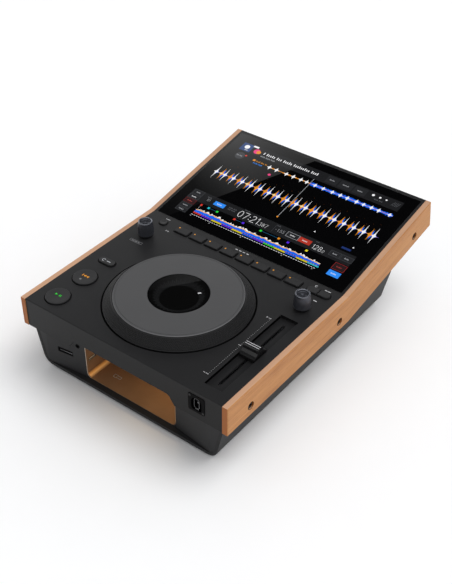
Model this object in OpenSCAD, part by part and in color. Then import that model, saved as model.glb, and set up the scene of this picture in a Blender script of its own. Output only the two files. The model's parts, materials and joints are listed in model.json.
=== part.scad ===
// Tabletop DJ media player: a level control deck with a jog wheel, a tilted display section,
// wooden side cheeks and a narrower lower body with an open cave for memory sticks.
// X is to the right, Y goes from the front edge to the back, Z is up. The origin lies on the
// surface that the feet stand on, below the middle of the whole body.

/* [Body] */
// Overall width over both wooden cheeks
body_w = 330; // [318:1:360]
// Height of the level deck above the table
deck_z = 104.6; // [103:0.2:118]
// Length of the level front deck
front_len = 250.8; // [249:0.2:280]
// Length of the tilted back section, along its slope
back_len = 208; // [206:1:230]
// Tilt of the back section in degrees
back_tilt = 10; // [6:0.5:14]
// Height of the side band: cheek planks and front apron
band_h = 42.6; // [41:0.2:46]
// Thickness of a wooden cheek
cheek_t = 8; // [6:0.5:9]
// Wall of the upper housing
wall = 3; // [2.4:0.1:3.4]
// Thickness of the deck sheet
deck_t = 2.5; // [2:0.1:2.8]
// Step of the apron behind the front ends of the cheeks
apron_in = 0.8; // [0.8:0.1:1.5]
// Rounding of the deck's front edge
deck_edge = 1.2; // [0.6:0.1:1.6]
// Chamfer along the outer edges of a cheek
cheek_edge = 0.8; // [0.4:0.1:1.5]
// Clearance between pieces that are fitted into each other
fit = 0.2; // [0.1:0.05:0.25]
// Gap between a moving piece and the stop or seat that it rests against
rest_gap = 0.3; // [0.2:0.05:0.4]

/* [Lower body] */
// Height that the feet stand proud of the lower body
foot_h = 3; // [2:0.5:6]
// Radius of a foot
foot_r = 14; // [10:1:16]
// Distance of a foot's centre inside the lower shell's bottom corner
foot_in = 38.5; // [34:0.5:44]
// Distance of the front feet's centres from the front
foot_front = 46; // [40:1:60]
// Distance of the rear feet's centres from the front
foot_back = 340; // [320:1:344]
// Wall of the lower shell
shell_t = 4.5; // [3.5:0.1:4.8]
// Distance of the lower shell's bottom corner, as if it were sharp, inside the cheek's inner face
pod_in = 16; // [14:0.5:19]
// Outward lean of the lower shell's sides in degrees
pod_flare = 12.5; // [10:0.5:14]
// Distance of the lower shell's front edge from the front
pod_front = 7.4; // [6:0.2:9]
// Distance of the lower shell's bottom rear edge from the front
pod_back = 382.5; // [378:0.5:390]
// Backward lean of the lower shell's rear wall in degrees
pod_lean = 0; // [0:0.5:6]
// Rounding along the lower shell's bottom side edges
pod_r = 15; // [12:1:18]
// Rounding along the lower shell's bottom rear edge
pod_rear_r = 6; // [5:0.5:9]

/* [Media cave] */
// Clear width of the cave
cave_w = 146; // [130:1:150]
// Depth of the cave behind its mouth
cave_depth = 80; // [60:1:84]
// Distance of the cave's mouth from the front
cave_face = 15.5; // [13:0.5:17]
// Height of the cave's ceiling above its floor
cave_h = 64.6; // [55:0.1:65]
// Wall of the cave liner
liner_t = 1; // [0.8:0.1:1.2]
// Rounding of the cave's bottom corners
cave_r = 7; // [5:0.5:10]
// Distance of the front wings' outer ends inside the cheek's inner face
wing_side = 22.5; // [21:0.5:28]
// Thickness of the front wings
wing_t = 3; // [2:0.5:3]
// Rise of the apron's arch over the cave
arch_h = 13.5; // [10:0.5:13.5]
// Width that the arch's flank takes on either side of the cave
arch_flank = 15; // [10:1:20]
// Width and height of the light guide in the cave's corner
guide_w = 6.5; // [5:0.5:7]

/* [Screen] */
// Depth of the screen bezel
bezel_t = 6; // [5:0.1:6.5]
// Width of the bezel's side strips
bezel_side = 4; // [3:0.5:7]
// Width of the bezel's rear strip
bezel_rear = 5; // [4:0.5:7]
// Width of the bezel's front strip
bezel_front = 1.4; // [1.2:0.1:1.6]
// Thickness of the cover glass
glass_t = 2; // [1.5:0.1:2.4]
// Distance of the display's picture from the side edges of the glass
lcd_side = 17.5; // [16:0.5:26]
// Distance of the display's picture from the fold, along the slope
lcd_front = 17.9; // [15:0.1:24]
// Distance of the display's picture from the rear edge, along the slope
lcd_rear = 20.7; // [18:0.1:28]
// Metal edge around the display's picture
lcd_edge = 4; // [2:0.5:4.5]

/* [Jog wheel] */
// Radius of the jog wheel at the deck
jog_r = 96.2; // [90:0.2:97]
// Distance of the jog wheel's axis from the front
jog_y = 115; // [112:0.5:116]
// Gap between the jog wheel and the deck
jog_gap = 1; // [0.6:0.1:1.4]
// Height of the jog wheel's top face above the deck
jog_h = 13.2; // [12:0.1:16]
// Radius of the flat top plate
jog_top_r = 83; // [76:0.2:86]
// Radius of the fixed display in the middle
display_r = 39; // [36:0.1:40]
// Gap between the fixed display and the turning top plate
display_gap = 0.5; // [0.4:0.1:0.8]
// Radius of the display's round picture at the bottom of its dish
dish_r = 23.7; // [20:0.1:26]
// Depth of the display's dish below the jog wheel's top face
dish_low = 8.4; // [6:0.1:8.6]
// Depth of the jog mechanism's bowl below the deck
bowl_d = 26; // [25:0.5:26.5]
// Radius of the jog wheel's bearing
bearing_r = 27; // [24:0.5:28]
// Running clearance of the bearing
bearing_gap = 0.05; // [0.02:0.01:0.1]
// Wall of the jog wheel's moulded parts
jog_wall = 2; // [1.6:0.1:2.4]

/* [Buttons] */
// Travel of every push button
travel = 1.2; // [0.8:0.1:1.5]
// Gap round a button
button_gap = 0.5; // [0.4:0.1:0.7]
// Height of a button above the deck
button_h = 2; // [1.8:0.1:3]
// Distance of the left column of controls from the inner face of its cheek
left_in = 30; // [28:0.5:32]
// Distance of the right column of controls from the inner face of its cheek
right_in = 27.3; // [25:0.1:28]
// Radius of the play and cue buttons
main_r = 16; // [12:0.5:18]
// Distance of the play button from the front
play_y = 28.7; // [27:0.1:34]
// Distance of the cue button from the front
cue_y = 78; // [72:0.5:82]
// Width of the pill button
pill_w = 25.4; // [20:0.2:28]
// Length of the pill button from front to back
pill_len = 11.6; // [8:0.2:13]
// Distance of the pill button from the front
pill_y = 120; // [116:0.5:126]
// Radius of the small round button
round_r = 5.6; // [4:0.1:7]
// Distance of the small round button from the front
round_y = 234.7; // [230:0.1:236]
// Width of the split pair of buttons
pair_w = 33.6; // [28:0.2:36]
// Length of the split pair from front to back
pair_len = 11; // [8:0.2:12]
// Distance of the split pair from the front
pair_y = 235.3; // [232:0.1:236]
// Distance of the row of pads from the inner faces of the cheeks
pad_side = 54.2; // [53:0.1:60]
// Gap between two pads
pad_gap = 4.4; // [3.8:0.1:6]
// Length of a pad from front to back
pad_len = 12.8; // [10:0.2:13]
// Distance of the row of pads from the front
pad_y = 234.3; // [233:0.1:236]

/* [Knobs] */
// Height of a knob's top above the deck
knob_h = 23.7; // [20:0.1:28]
// Height of a knob's lower edge above the deck
knob_low = 3; // [2.4:0.1:4]
// Radius of the level knob at its lower edge
level_r = 11.2; // [9:0.1:12]
// Radius of the selector knob at its lower edge
selector_r = 11.2; // [9:0.1:14]
// Width of the rounded lip round a knob's dished top
lip_w = 2.8; // [1.6:0.1:3]
// Depth of a knob's dished top
dish_d = 3; // [1.5:0.1:4]
// Narrowing of a knob's radius towards its top
knob_taper = 1.7; // [1:0.1:2.4]
// Radius of a knob's shaft
shaft_r = 3; // [2.5:0.1:3.5]
// Distance of both knobs from the front
knob_y = 197.9; // [194:0.1:204]
// Travel of the selector when it is pushed
push = 0.6; // [0.4:0.1:1]

/* [Tempo fader] */
// Distance of the fader's middle from the front
fader_y = 94.9; // [92:0.1:98]
// Whole travel of the fader
fader_run = 125; // [100:1:126]
// Width of the fader's trough
trough_w = 25.8; // [24:0.2:28]
// Length that the trough reaches past the cap at each end
trough_past = 1.6; // [1:0.1:2]
// Depth of the trough below the deck
trough_d = 4.5; // [4:0.1:5]
// Width of the fader cap
cap_w = 22.2; // [18:0.2:23]
// Length of the fader cap from front to back
cap_len = 24.8; // [20:0.2:26]
// Height of the fader cap above the deck
cap_h = 10.8; // [9:0.1:13]
// Thickness of the fader's lever
lever_t = 1.6; // [1.2:0.1:2]
// Length of the fader's lever from front to back
lever_len = 6; // [5:0.5:8]

/* [Sockets and screws] */
// Width of the front panel connector's flange
conn_w = 24; // [22:0.5:28]
// Height of the front panel connector's flange
conn_h = 26; // [24:0.5:30]
// Distance of the front panel connector from the inner face of its cheek
conn_in = 37.5; // [34:0.5:42]
// Distance of the front panel connector's middle below the deck
conn_down = 19; // [17:0.5:20]
// Width of the card slot's frame
card_w = 24; // [22:0.5:30]
// Height of the card slot's frame
card_h = 8; // [7:0.5:9]
// Distance of the card slot's middle from the cave, along the wing
card_out = 33; // [30:0.5:36]
// Height of the card slot's middle above the table
card_z = 36; // [30:0.5:42]
// Distance of the mini jack from the cave, along the wing
mini_out = 12; // [10:0.5:14]
// Height of the mini jack above the table
mini_z = 54; // [48:0.5:56]
// Width of the memory stick socket's shell
usb_w = 13.2; // [12:0.1:14.5]
// Height of the memory stick socket's shell
usb_h = 5.8; // [5.6:0.1:8]
// Height of the memory stick socket's middle above the cave's floor
usb_up = 25.5; // [16:0.5:30]
// Distance of the memory stick socket's middle behind the cave's mouth
usb_back = 11; // [9:0.5:20]
// Radius of a cheek screw's head
cheek_screw_r = 4.6; // [3.6:0.1:5]
// Radius of a cheek screw's shank
cheek_shank_r = 1.9; // [1.5:0.1:2.3]
// Depth of the cheek screws' line below the top of the band
cheek_screw_z = 28; // [18:0.5:32]
// Distance of the outermost cheek screws from the ends of a cheek
cheek_screw_end = 44; // [30:1:60]
// Distance of the middle cheek screws in front of the fold
cheek_screw_fold = 17.8; // [12:0.2:30]
// Height of the rear panel along the rear wall
rear_h = 42; // [36:1:48]
// Distance of the rear panel's ends inside the lower shell's bottom corners
rear_side = 23; // [19:0.5:25]

/* [Hidden] */
$fn = 96;

// Sizes worked out from the ones above
in_x = body_w / 2 - cheek_t;
band_z = deck_z - band_h;
shell_x = in_x - wall - fit;
left_x = -(in_x - left_in);
right_x = in_x - right_in;
pod_w = 2 * (in_x - pod_in);
foot_x = pod_w / 2 - foot_in;
wing_x = in_x - wing_side;
rear_w = pod_w - 2 * rear_side;
total_len = slope(back_len, band_h)[0];
shelf_e = bezel_t + deck_t;
floor_z = foot_h + shell_t;
cave_floor = floor_z + liner_t;
cave_top = cave_floor + cave_h;
arch_z = band_z + arch_h;
wing_in = 0.3;
wing_a = atan2(cave_face - pod_front - wing_in, wing_x - cave_w / 2);
wing_top = band_z + wall + 3;
bridge_top = arch_z + 5;

// Heights below the deck's top face that the buttons share
flange_t = 1.5;
flange_out = 1;
flange_e = deck_t + rest_gap + flange_t;
stem_len = 4.5;
stem_r = 2.5;
stem_e = flange_e + stem_len;
switch_h = 3.5;
switch_e = stem_e + travel + rest_gap;
board_t = 1.6;
board_e = switch_e + switch_h;

hole_r = jog_r + jog_gap;
knob_bush_r = shaft_r + 1.5;
pad_count = 8;
pad_w = (2 * (in_x - pad_side) - (pad_count - 1) * pad_gap) / pad_count;
pad_pitch = pad_w + pad_gap;
trough_len = fader_run + cap_len + 2 * trough_past;
slot_len = fader_run + lever_len + 2 * rest_gap;
slot_w = lever_t + 2 * rest_gap;
trough_floor = 1.5;
trough_wall = 1.2;
pocket_gap = 0.05;
conn_x = in_x - conn_in;
glass_x = in_x - bezel_side;
lcd_w = 2 * (glass_x - lcd_side);
lcd_len = back_len - lcd_front - lcd_rear;
lcd_mid = lcd_front + lcd_len / 2;

// Points of the body's side view, at the depth e below its top line
function fold(e) = [front_len + e * tan(back_tilt / 2), deck_z - e];
function slope(s, e) = [front_len + s * cos(back_tilt) + e * sin(back_tilt),
                        deck_z + s * sin(back_tilt) - e * cos(back_tilt)];

// Half width and rear line of the lower shell, at the height z and the depth i below its skin
function pod_half(z, i) = pod_w / 2 + (z - foot_h) * tan(pod_flare) - i / cos(pod_flare);
function pod_rear(z, i) = pod_back + (z - foot_h) * tan(pod_lean) - i / cos(pod_lean);

// Points of a fillet of radius r at the corner p between the points a and b
function fillet(a, p, b, r, n = 8) =
  let (u = (a - p) / norm(a - p), v = (b - p) / norm(b - p), half = acos(u * v) / 2,
       c = p + (u + v) / norm(u + v) * r / sin(half),
       first = p + u * r / tan(half), last = p + v * r / tan(half),
       a0 = atan2(first[1] - c[1], first[0] - c[0]),
       turn = atan2(last[1] - c[1], last[0] - c[0]) - a0,
       sweep = turn > 180 ? turn - 360 : (turn < -180 ? turn + 360 : turn))
  [for (k = [0 : n]) c + r * [cos(a0 + sweep * k / n), sin(a0 + sweep * k / n)]];

function pad_x(k) = (k - (pad_count - 1) / 2) * pad_pitch;

// Placing
module from_front() translate([0, -total_len / 2, 0]) children();
module along_x(w) rotate([90, 0, 90]) linear_extrude(w, center = true) children();
module along_y(y0, y1) translate([0, y1, 0]) rotate([90, 0, 0]) linear_extrude(y1 - y0) children();
module on_slope() translate([0, front_len, deck_z]) rotate([back_tilt, 0, 0]) children();
module on_rear() translate([0, pod_back, foot_h]) rotate([-pod_lean, 0, 0]) children();
module on_deck(x, y) translate([x, y, deck_z]) children();
module on_wing() translate([cave_w / 2, cave_face, 0]) rotate([0, 0, -wing_a]) children();
module both() {
  children();
  mirror([1, 0, 0]) children();
}

// Shapes that repeat
module rounded(w, l, r) {
  square([w - 2 * r, l], center = true);
  square([w, l - 2 * r], center = true);
  for (x = [-1, 1], y = [-1, 1]) translate([x * (w / 2 - r), y * (l / 2 - r)]) circle(r);
}
module block(w, l, low, high) translate([-w / 2, -l / 2, low]) cube([w, l, high - low]);
module disc(r, low, high) translate([0, 0, low]) cylinder(r = r, h = high - low);

// The lower shell's form, i below its skin, from the front line y0
module pod_profile(i) {
  lim = shell_x - i;
  top = deck_z + back_len;
  low = foot_h + i;
  knee = foot_h + (lim + i / cos(pod_flare) - pod_w / 2) / tan(pod_flare);
  h = pod_half(low, i);
  right = fillet([0, low], [h, low], [lim, knee], pod_r - i);
  polygon(concat([[lim, top], [-lim, top], [-lim, knee]],
                 fillet([-lim, knee], [-h, low], [0, low], pod_r - i), right, [[lim, knee]]));
}
module pod_side(i, y0) {
  low = foot_h + i;
  top = deck_z + back_len;
  heel = [pod_rear(low, i), low];
  crown = [pod_rear(top, i), top];
  polygon(concat([[y0, top], [y0, low]], fillet([y0, low], heel, crown, pod_rear_r - i / 2),
                 [crown]));
}
module pod_form(i, y0) intersection() {
  along_y(y0, 2 * total_len) pod_profile(i);
  along_x(body_w) pod_side(i, y0);
}
module below_band(e) along_x(body_w) polygon([[-wall, -wall], [2 * total_len, -wall],
  slope(back_len + 2 * band_h, e), fold(e), [-wall, deck_z - e]]);

// ---- Lower body
board_y = [125, 282];
supply_y = [300, 366];
boss_x = pod_w / 2 - 26.5;
boss_r = 4;
boss_h = 10;
base_screw_r = 1.4;
vent_w = 3;
vent_len = 40;
vent_pitch = 8;
vent_count = 9;

module boss_places() for (x = [-boss_x, boss_x], y = concat(board_y, [supply_y[1]]))
  translate([x, y, 0]) children();

rear_low = 12;
rear_t = 2;
rear_rim = 3;

module rear_window(w_in, low, high) on_rear()
  translate([-(rear_w / 2 - w_in), low, rear_low + w_in])
    cube([rear_w - 2 * w_in, high - low, rear_h - 2 * w_in]);

module bottom_shell() color([0.17, 0.17, 0.175]) from_front() {
  difference() {
    union() {
      intersection() {
        pod_form(0, pod_front);
        below_band(band_h - wall);
      }
      along_x(2 * shell_x) polygon([[apron_in + wall + fit, band_z + wall], fold(band_h - wall),
        slope(back_len - wall - fit, band_h - wall), slope(back_len - wall - fit, band_h),
        fold(band_h), [apron_in + wall + fit, band_z]]);
    }
    pod_form(shell_t, -wall);
    rear_window(-fit, -rear_t, wall);
    rear_window(rear_rim, -2 * shell_t, 0);
    boss_places() {
      disc(base_screw_r + fit, 0, floor_z + 1);
      disc(2 * base_screw_r + fit, 0, foot_h + 2);
    }
    for (side = [-1, 1], k = [0 : vent_count - 1])
      translate([side * boss_x / 2, board_y[0] + 50 + k * vent_pitch, 0])
        block(vent_len, vent_w, 0, floor_z + 1);
  }
  boss_places() difference() {
    disc(boss_r, floor_z, floor_z + boss_h);
    disc(base_screw_r + fit / 2, floor_z - 1, floor_z + boss_h + 1);
  }
}

module base_screws() color([0.35, 0.35, 0.36]) from_front() boss_places() {
  disc(2 * base_screw_r, foot_h + fit, foot_h + 2);
  disc(base_screw_r, foot_h + 2, floor_z + boss_h - 1);
}

module feet() color([0.08, 0.08, 0.08]) from_front()
  for (x = [-foot_x, foot_x], y = [foot_front, foot_back]) translate([x, y, 0])
    rotate_extrude() polygon([[0, 0.6], [foot_r - 4, 0.6], [foot_r - 3.4, 0], [foot_r - 1, 0],
      [foot_r, 1], [foot_r, foot_h], [0, foot_h]]);

// ---- Front of the lower body
module wing_plan(top) {
  inner = cave_w / 2 - cave_r;
  outer = 2 * wing_x;
  line = [for (x = [inner, outer]) [x, cave_face - (x - cave_w / 2) * tan(wing_a)]];
  deep = [0, wing_t / cos(wing_a)];
  translate([0, 0, floor_z]) linear_extrude(top - floor_z)
    polygon([line[0], line[1], line[1] + deep, line[0] + deep]);
}

module front_plate() color([0.24, 0.24, 0.25]) from_front() difference() {
  union() {
    both() intersection() {
      wing_plan(wing_top);
      along_y(pod_front + wing_in, 3 * cave_face) pod_profile(shell_t + fit / 2);
    }
    both() intersection() {
      wing_plan(bridge_top);
      translate([0, 0, floor_z]) cube([cave_w / 2 + arch_flank + 6, 3 * cave_face, bridge_top]);
    }
    translate([-cave_w / 2, cave_face, cave_top])
      cube([cave_w, wing_t, bridge_top - cave_top]);
  }
  along_y(cave_face - wing_t, 3 * cave_face) cave_section(-liner_t - fit);
  mirror([1, 0, 0]) on_wing() {
    translate([card_out, 0, card_z]) cube([card_w + fit, 4 * wing_t, card_h + fit], center = true);
    translate([mini_out, 0, mini_z]) rotate([90, 0, 0])
      cylinder(r = mini_r + fit / 2, h = 4 * wing_t, center = true);
  }
}

mini_r = 3.2;

module card_slot() color([0.1, 0.1, 0.11]) from_front() mirror([1, 0, 0]) on_wing()
  translate([card_out, 0, card_z]) difference() {
    union() {
      translate([-card_w / 2, 0.2, -card_h / 2]) cube([card_w, 18, card_h]);
      translate([-card_w / 2 - 1.5, wing_t, -card_h / 2 - 1.5])
        cube([card_w + 3, 2, card_h + 3]);
    }
    translate([-card_w / 2 + 1, -1, -card_h / 2 + 1]) cube([card_w - 2, 2.4, card_h - 2]);
    translate([-card_w / 2 + 1.5, -1, -0.4]) cube([card_w - 3, 15, 2.6]);
  }

module mini_jack() color([0.08, 0.08, 0.08]) from_front() mirror([1, 0, 0]) on_wing()
  translate([mini_out, 0, mini_z]) rotate([-90, 0, 0]) difference() {
    union() {
      disc(mini_r, -0.3, 3 * wing_t);
      disc(mini_r + 1.5, wing_t, 2 * wing_t);
    }
    disc(1.8, -1, 8);
  }

module cave_section(i) {
  w = cave_w / 2 - i;
  low = cave_floor + i;
  r = cave_r - i;
  polygon(concat([[w, cave_top - i], [-w, cave_top - i]],
    fillet([-w, cave_top], [-w, low], [0, low], r), fillet([0, low], [w, low], [w, cave_top], r)));
}

module media_cave() color([0.36, 0.25, 0.17]) from_front() difference() {
  union() {
    along_y(cave_face, cave_face + cave_depth + liner_t) cave_section(-liner_t);
    translate([0, 0, floor_z]) linear_extrude(cave_r)
      translate([0, cave_face + cave_depth / 2 + liner_t / 2])
        square([cave_w - 2 * cave_r, cave_depth + liner_t], center = true);
  }
  along_y(cave_face - 1, cave_face + cave_depth) cave_section(0);
  translate([-cave_w / 2, cave_face + usb_back, cave_floor + usb_up])
    cube([4 * liner_t, usb_w + fit, usb_h + fit], center = true);
}

module cave_light_guide() color([0.95, 0.6, 0.15]) from_front() intersection() {
  along_y(cave_face + 1, cave_face + cave_depth - 1) cave_section(fit / 4);
  along_y(cave_face + 1, cave_face + cave_depth - 1) polygon([
    [-cave_w / 2 - 1, cave_floor - 1], [-cave_w / 2 + guide_w, cave_floor - 1],
    [-cave_w / 2 + guide_w, cave_floor + 0.6], [-cave_w / 2 + 0.6, cave_floor + guide_w],
    [-cave_w / 2 - 1, cave_floor + guide_w]]);
}

module cave_socket() color([0.7, 0.7, 0.72]) from_front()
  translate([-cave_w / 2, cave_face + usb_back, cave_floor + usb_up]) {
    shell = 0.4;
    depth = 14;
    difference() {
      translate([-depth, -usb_w / 2, -usb_h / 2]) cube([depth, usb_w, usb_h]);
      translate([-depth + shell, shell - usb_w / 2, shell - usb_h / 2])
        cube([depth, usb_w - 2 * shell, usb_h - 2 * shell]);
    }
    translate([-depth + shell, -usb_w / 2 + 1, -usb_h / 2 + 1]) cube([depth - 2, usb_w - 2, 1.8]);
  }

// ---- Upper housing
connector_r = 11.5;
connector_len = 15;
conn_screw_x = 9.6;
conn_screw_z = 9.9;
conn_head_r = 1.5;
conn_shank_r = 1;
pair_gap = 1.4;
level_boss_y = (pill_y + knob_y) / 2;
main_boss_y = (play_y + cue_y) / 2;
pad_boss_x = 60;
pad_boss_y = pad_y - pad_len / 2 - button_gap - flange_out - 2.6;
board_half = 18;

module pill(w, l) rounded(w, l, l / 2 - 0.05);

module trough_form(out, low, high) translate([right_x, fader_y, deck_z])
  block(trough_w + 2 * out, trough_len + 2 * out, low, high);

module arch(y0, y1) along_y(y0, y1) polygon(concat(
  [[-cave_w / 2 - arch_flank, band_z - wall]],
  fillet([-cave_w / 2 - arch_flank, band_z], [-cave_w / 2 - 3, arch_z], [0, arch_z], 6),
  fillet([0, arch_z], [cave_w / 2 + 3, arch_z], [cave_w / 2 + arch_flank, band_z], 6),
  [[cave_w / 2 + arch_flank, band_z - wall]]));

module deck_holes() {
  on_deck(0, jog_y) disc(hole_r, -deck_t - 1, 1);
  on_deck(left_x, play_y) disc(main_r + button_gap, -deck_t - 1, 1);
  on_deck(left_x, cue_y) disc(main_r + button_gap, -deck_t - 1, 1);
  on_deck(left_x, round_y) disc(round_r + button_gap, -deck_t - 1, 1);
  for (x = [left_x, right_x]) on_deck(x, knob_y) disc(knob_bush_r + fit, -deck_t - 1, 1);
  on_deck(left_x, pill_y) translate([0, 0, -deck_t - 1]) linear_extrude(deck_t + 2)
    pill(pill_w + 2 * button_gap, pill_len + 2 * button_gap);
  on_deck(right_x, pair_y) translate([0, 0, -deck_t - 1]) linear_extrude(deck_t + 2)
    pill(pair_w + 2 * button_gap, pair_len + 2 * button_gap);
  for (k = [0 : pad_count - 1]) on_deck(pad_x(k), pad_y) translate([0, 0, -deck_t - 1])
    linear_extrude(deck_t + 2) rounded(pad_w + 2 * button_gap, pad_len + 2 * button_gap, 2);
  trough_form(0, -deck_t - 1, 1);
}

module deck_bosses() {
  for (y = [main_boss_y, level_boss_y]) on_deck(left_x, y) disc(2.5, -board_e, -deck_t);
  for (x = [-1, 1]) on_deck(right_x + x * (board_half - 4), knob_y) disc(2.5, -board_e, -deck_t);
  for (x = [-1, 1]) on_deck(x * pad_boss_x, pad_boss_y) disc(2, -board_e, -deck_t);
}

module cheek_screw_places() {
  last = slope(back_len - cheek_screw_end, cheek_screw_z);
  both() {
    for (y = [cheek_screw_end, front_len - cheek_screw_fold])
      translate([0, y, deck_z - cheek_screw_z]) rotate([0, 90, 0]) children();
    translate([0, last[0], last[1]]) rotate([0, 90, 0]) children();
  }
}

module top_deck() color([0.23, 0.23, 0.235]) from_front() {
  difference() {
    along_x(2 * in_x) polygon(concat([[apron_in, band_z]],
      fillet([apron_in, band_z], [apron_in, deck_z], fold(0), deck_edge),
      [fold(0), slope(back_len, 0), slope(back_len, band_h), fold(band_h)]));
    along_x(2 * (in_x - wall)) polygon([[apron_in + wall, deck_z - deck_t],
      [front_len - wall, deck_z - deck_t], slope(-wall, shelf_e), slope(back_len - wall, shelf_e),
      slope(back_len - wall, 2 * band_h), fold(2 * band_h), [apron_in + wall, band_z - band_h]]);
    on_slope() {
      translate([-body_w / 2, 0, -bezel_t]) cube([body_w, 2 * back_len, 2 * bezel_t]);
      translate([0, lcd_mid, 0]) block(lcd_w - 20, lcd_len - 20, -2 * shelf_e, 0);
    }
    deck_holes();
    arch(-1, apron_in + wall + 1);
    translate([conn_x, 0, deck_z - conn_down]) rotate([-90, 0, 0])
      disc(connector_r + fit, -1, 2 * wall);
    connector_screw_places() disc(conn_shank_r + fit / 2, -1, 2 * wall);
    cheek_screw_places() disc(cheek_shank_r + fit / 2, in_x - 2 * wall, in_x + 1);
  }
  deck_bosses();
}

// ---- Screen
lcd_out = 2 * lcd_edge;

module screen_bezel() color([0.12, 0.12, 0.125]) from_front() on_slope() difference() {
  translate([-in_x, 0, -bezel_t]) cube([2 * in_x, back_len, bezel_t]);
  translate([-glass_x, bezel_front, -glass_t])
    cube([2 * glass_x, back_len - bezel_front - bezel_rear, 2 * glass_t]);
  translate([0, lcd_mid, 0])
    block(lcd_w + lcd_out + 2 * fit, lcd_len + lcd_out + 2 * fit, -2 * bezel_t, 0);
}

module screen_glass() color([0.02, 0.02, 0.025]) from_front() on_slope()
  translate([fit - glass_x, bezel_front + fit, -glass_t])
    cube([2 * (glass_x - fit), back_len - bezel_front - bezel_rear - 2 * fit, glass_t]);

module lcd_panel() color([0.25, 0.27, 0.3]) from_front() on_slope() translate([0, lcd_mid, 0])
  block(lcd_w + lcd_out, lcd_len + lcd_out, -bezel_t, -glass_t);

// ---- Wooden cheeks
head_in = 1.5;
head_h = 2.2;

module edge_cut(a, b) translate([body_w / 2, a[0], a[1]])
  rotate([atan2(b[1] - a[1], b[0] - a[0]), 0, 0]) translate([0, norm(b - a) / 2, 0])
    rotate([0, 45, 0]) cube([cheek_edge * sqrt(2), norm(b - a) + 4, cheek_edge * sqrt(2)],
                            center = true);

module cheek() {
  line = [[0, deck_z], fold(0), slope(back_len, 0), slope(back_len, band_h), fold(band_h),
          [0, band_z]];
  difference() {
    translate([in_x + cheek_t / 2, 0, 0]) along_x(cheek_t) polygon(line);
    for (k = [0 : 5]) edge_cut(line[k], line[(k + 1) % 6]);
    cheek_screw_places() {
      disc(cheek_shank_r + fit / 2, in_x - 1, body_w);
      disc(cheek_screw_r + 2 * fit, body_w / 2 - head_in - head_h, body_w);
    }
  }
}

module cheek_right() color([0.86, 0.62, 0.42]) from_front() cheek();
module cheek_left() color([0.86, 0.62, 0.42]) from_front() mirror([1, 0, 0]) cheek();

module cheek_screws() color([0.1, 0.1, 0.1]) from_front() cheek_screw_places() difference() {
  union() {
    disc(cheek_screw_r, body_w / 2 - head_in - head_h, body_w / 2 - head_in);
    disc(cheek_shank_r, in_x - wall - 3, body_w / 2 - head_in - head_h);
  }
  translate([0, 0, body_w / 2 - head_in - 1.2])
    cylinder(r = cheek_screw_r / 2, h = cheek_t, $fn = 6);
}

// ---- Rear panel and its sockets, from the mains inlet to the audio jacks
socket_lip = 2;
lip_t = 0.5;
inlet_x = rear_w / 2 - 30;
inlet_w = 27;
inlet_h = 19;
inlet_wall = 1.5;
inlet_len = 17;
contact_low = 15;
contact_top = 6;
power_x = inlet_x - 30;
power_r = 5;
host_x = power_x - 26;
host_w = 12;
host_h = 11;
host_wall = 1.7;
lan_x = host_x - 24;
lan_w = 16;
lan_h = 13.5;
lan_hole_w = 11.8;
lan_hole_h = 8.4;
socket_len = 16;
jack_xs = [for (step = [42, 58, 86]) lan_x - step];
jack_bore_r = 1.6;
jack_len = 8;
rca_r = 4.15;
rear_mid = rear_low + rear_h / 2;

module rear_block(x, w, h, low, high) on_rear()
  translate([x - w / 2, low, rear_mid - h / 2]) cube([w, high - low, h]);
module rear_disc(x, r, low, high) on_rear() translate([x, low, rear_mid]) rotate([-90, 0, 0])
  cylinder(r = r, h = high - low);
module rear_hole(x, w, h) rear_block(x, w + fit, h + fit, -4 * rear_t, 4 * rear_t);
module lipped(x, w, h, len) {
  rear_block(x, w, h, -len, lip_t);
  rear_block(x, w + socket_lip, h + socket_lip, 0, lip_t);
}

module rear_panel() color([0.2, 0.2, 0.21]) from_front() difference() {
  rear_window(fit / 2, -rear_t, 0);
  rear_hole(inlet_x, inlet_w, inlet_h);
  rear_hole(host_x, host_w, host_h);
  rear_hole(lan_x, lan_w, lan_h);
  rear_disc(power_x, power_r + button_gap, -4 * rear_t, 4 * rear_t);
  for (x = jack_xs) rear_disc(x, rca_r + fit / 2, -4 * rear_t, 4 * rear_t);
}

module rca_jacks() color([0.75, 0.72, 0.65]) from_front() for (x = jack_xs) difference() {
  union() {
    rear_disc(x, rca_r, -jack_len - rear_t, jack_len);
    rear_disc(x, rca_r + 1.5, 0, 1);
  }
  rear_disc(x, jack_bore_r, -jack_len / 2, jack_len + 1);
}

module lan_socket() color([0.7, 0.71, 0.72]) from_front() difference() {
  lipped(lan_x, lan_w, lan_h, socket_len);
  rear_block(lan_x, lan_hole_w, lan_hole_h, 4 - socket_len, 1);
}

module host_socket() color([0.7, 0.71, 0.72]) from_front() {
  hole_w = host_w - 2 * host_wall;
  hole_h = host_h - 2 * host_wall;
  difference() {
    lipped(host_x, host_w, host_h, socket_len);
    rear_block(host_x, hole_w, hole_h, -9, 1);
  }
  rear_block(host_x, hole_w - 3, hole_h - 4.4, -10, -1);
}

module power_inlet() color([0.07, 0.07, 0.07]) from_front() {
  difference() {
    union() {
      rear_block(inlet_x, inlet_w, inlet_h, -inlet_len, lip_t);
      rear_block(inlet_x, inlet_w + 2 * socket_lip, inlet_h + 2 * socket_lip, 0, lip_t);
    }
    rear_block(inlet_x, inlet_w - 2 * inlet_wall, inlet_h - 2 * inlet_wall, 3 - inlet_len, 1);
  }
  for (x = [-7, 7]) rear_block(inlet_x + x, 2, 4, -contact_low, -contact_top);
  rear_block(inlet_x, 2, 5, -contact_low, -contact_top);
}

module power_button() color([0.1, 0.1, 0.1]) from_front() {
  rear_disc(power_x, power_r, -rear_t - rest_gap, 2.6);
  rear_disc(power_x, power_r + button_gap + flange_out, -rear_t - rest_gap - flange_t,
            -rear_t - rest_gap);
}

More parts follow.
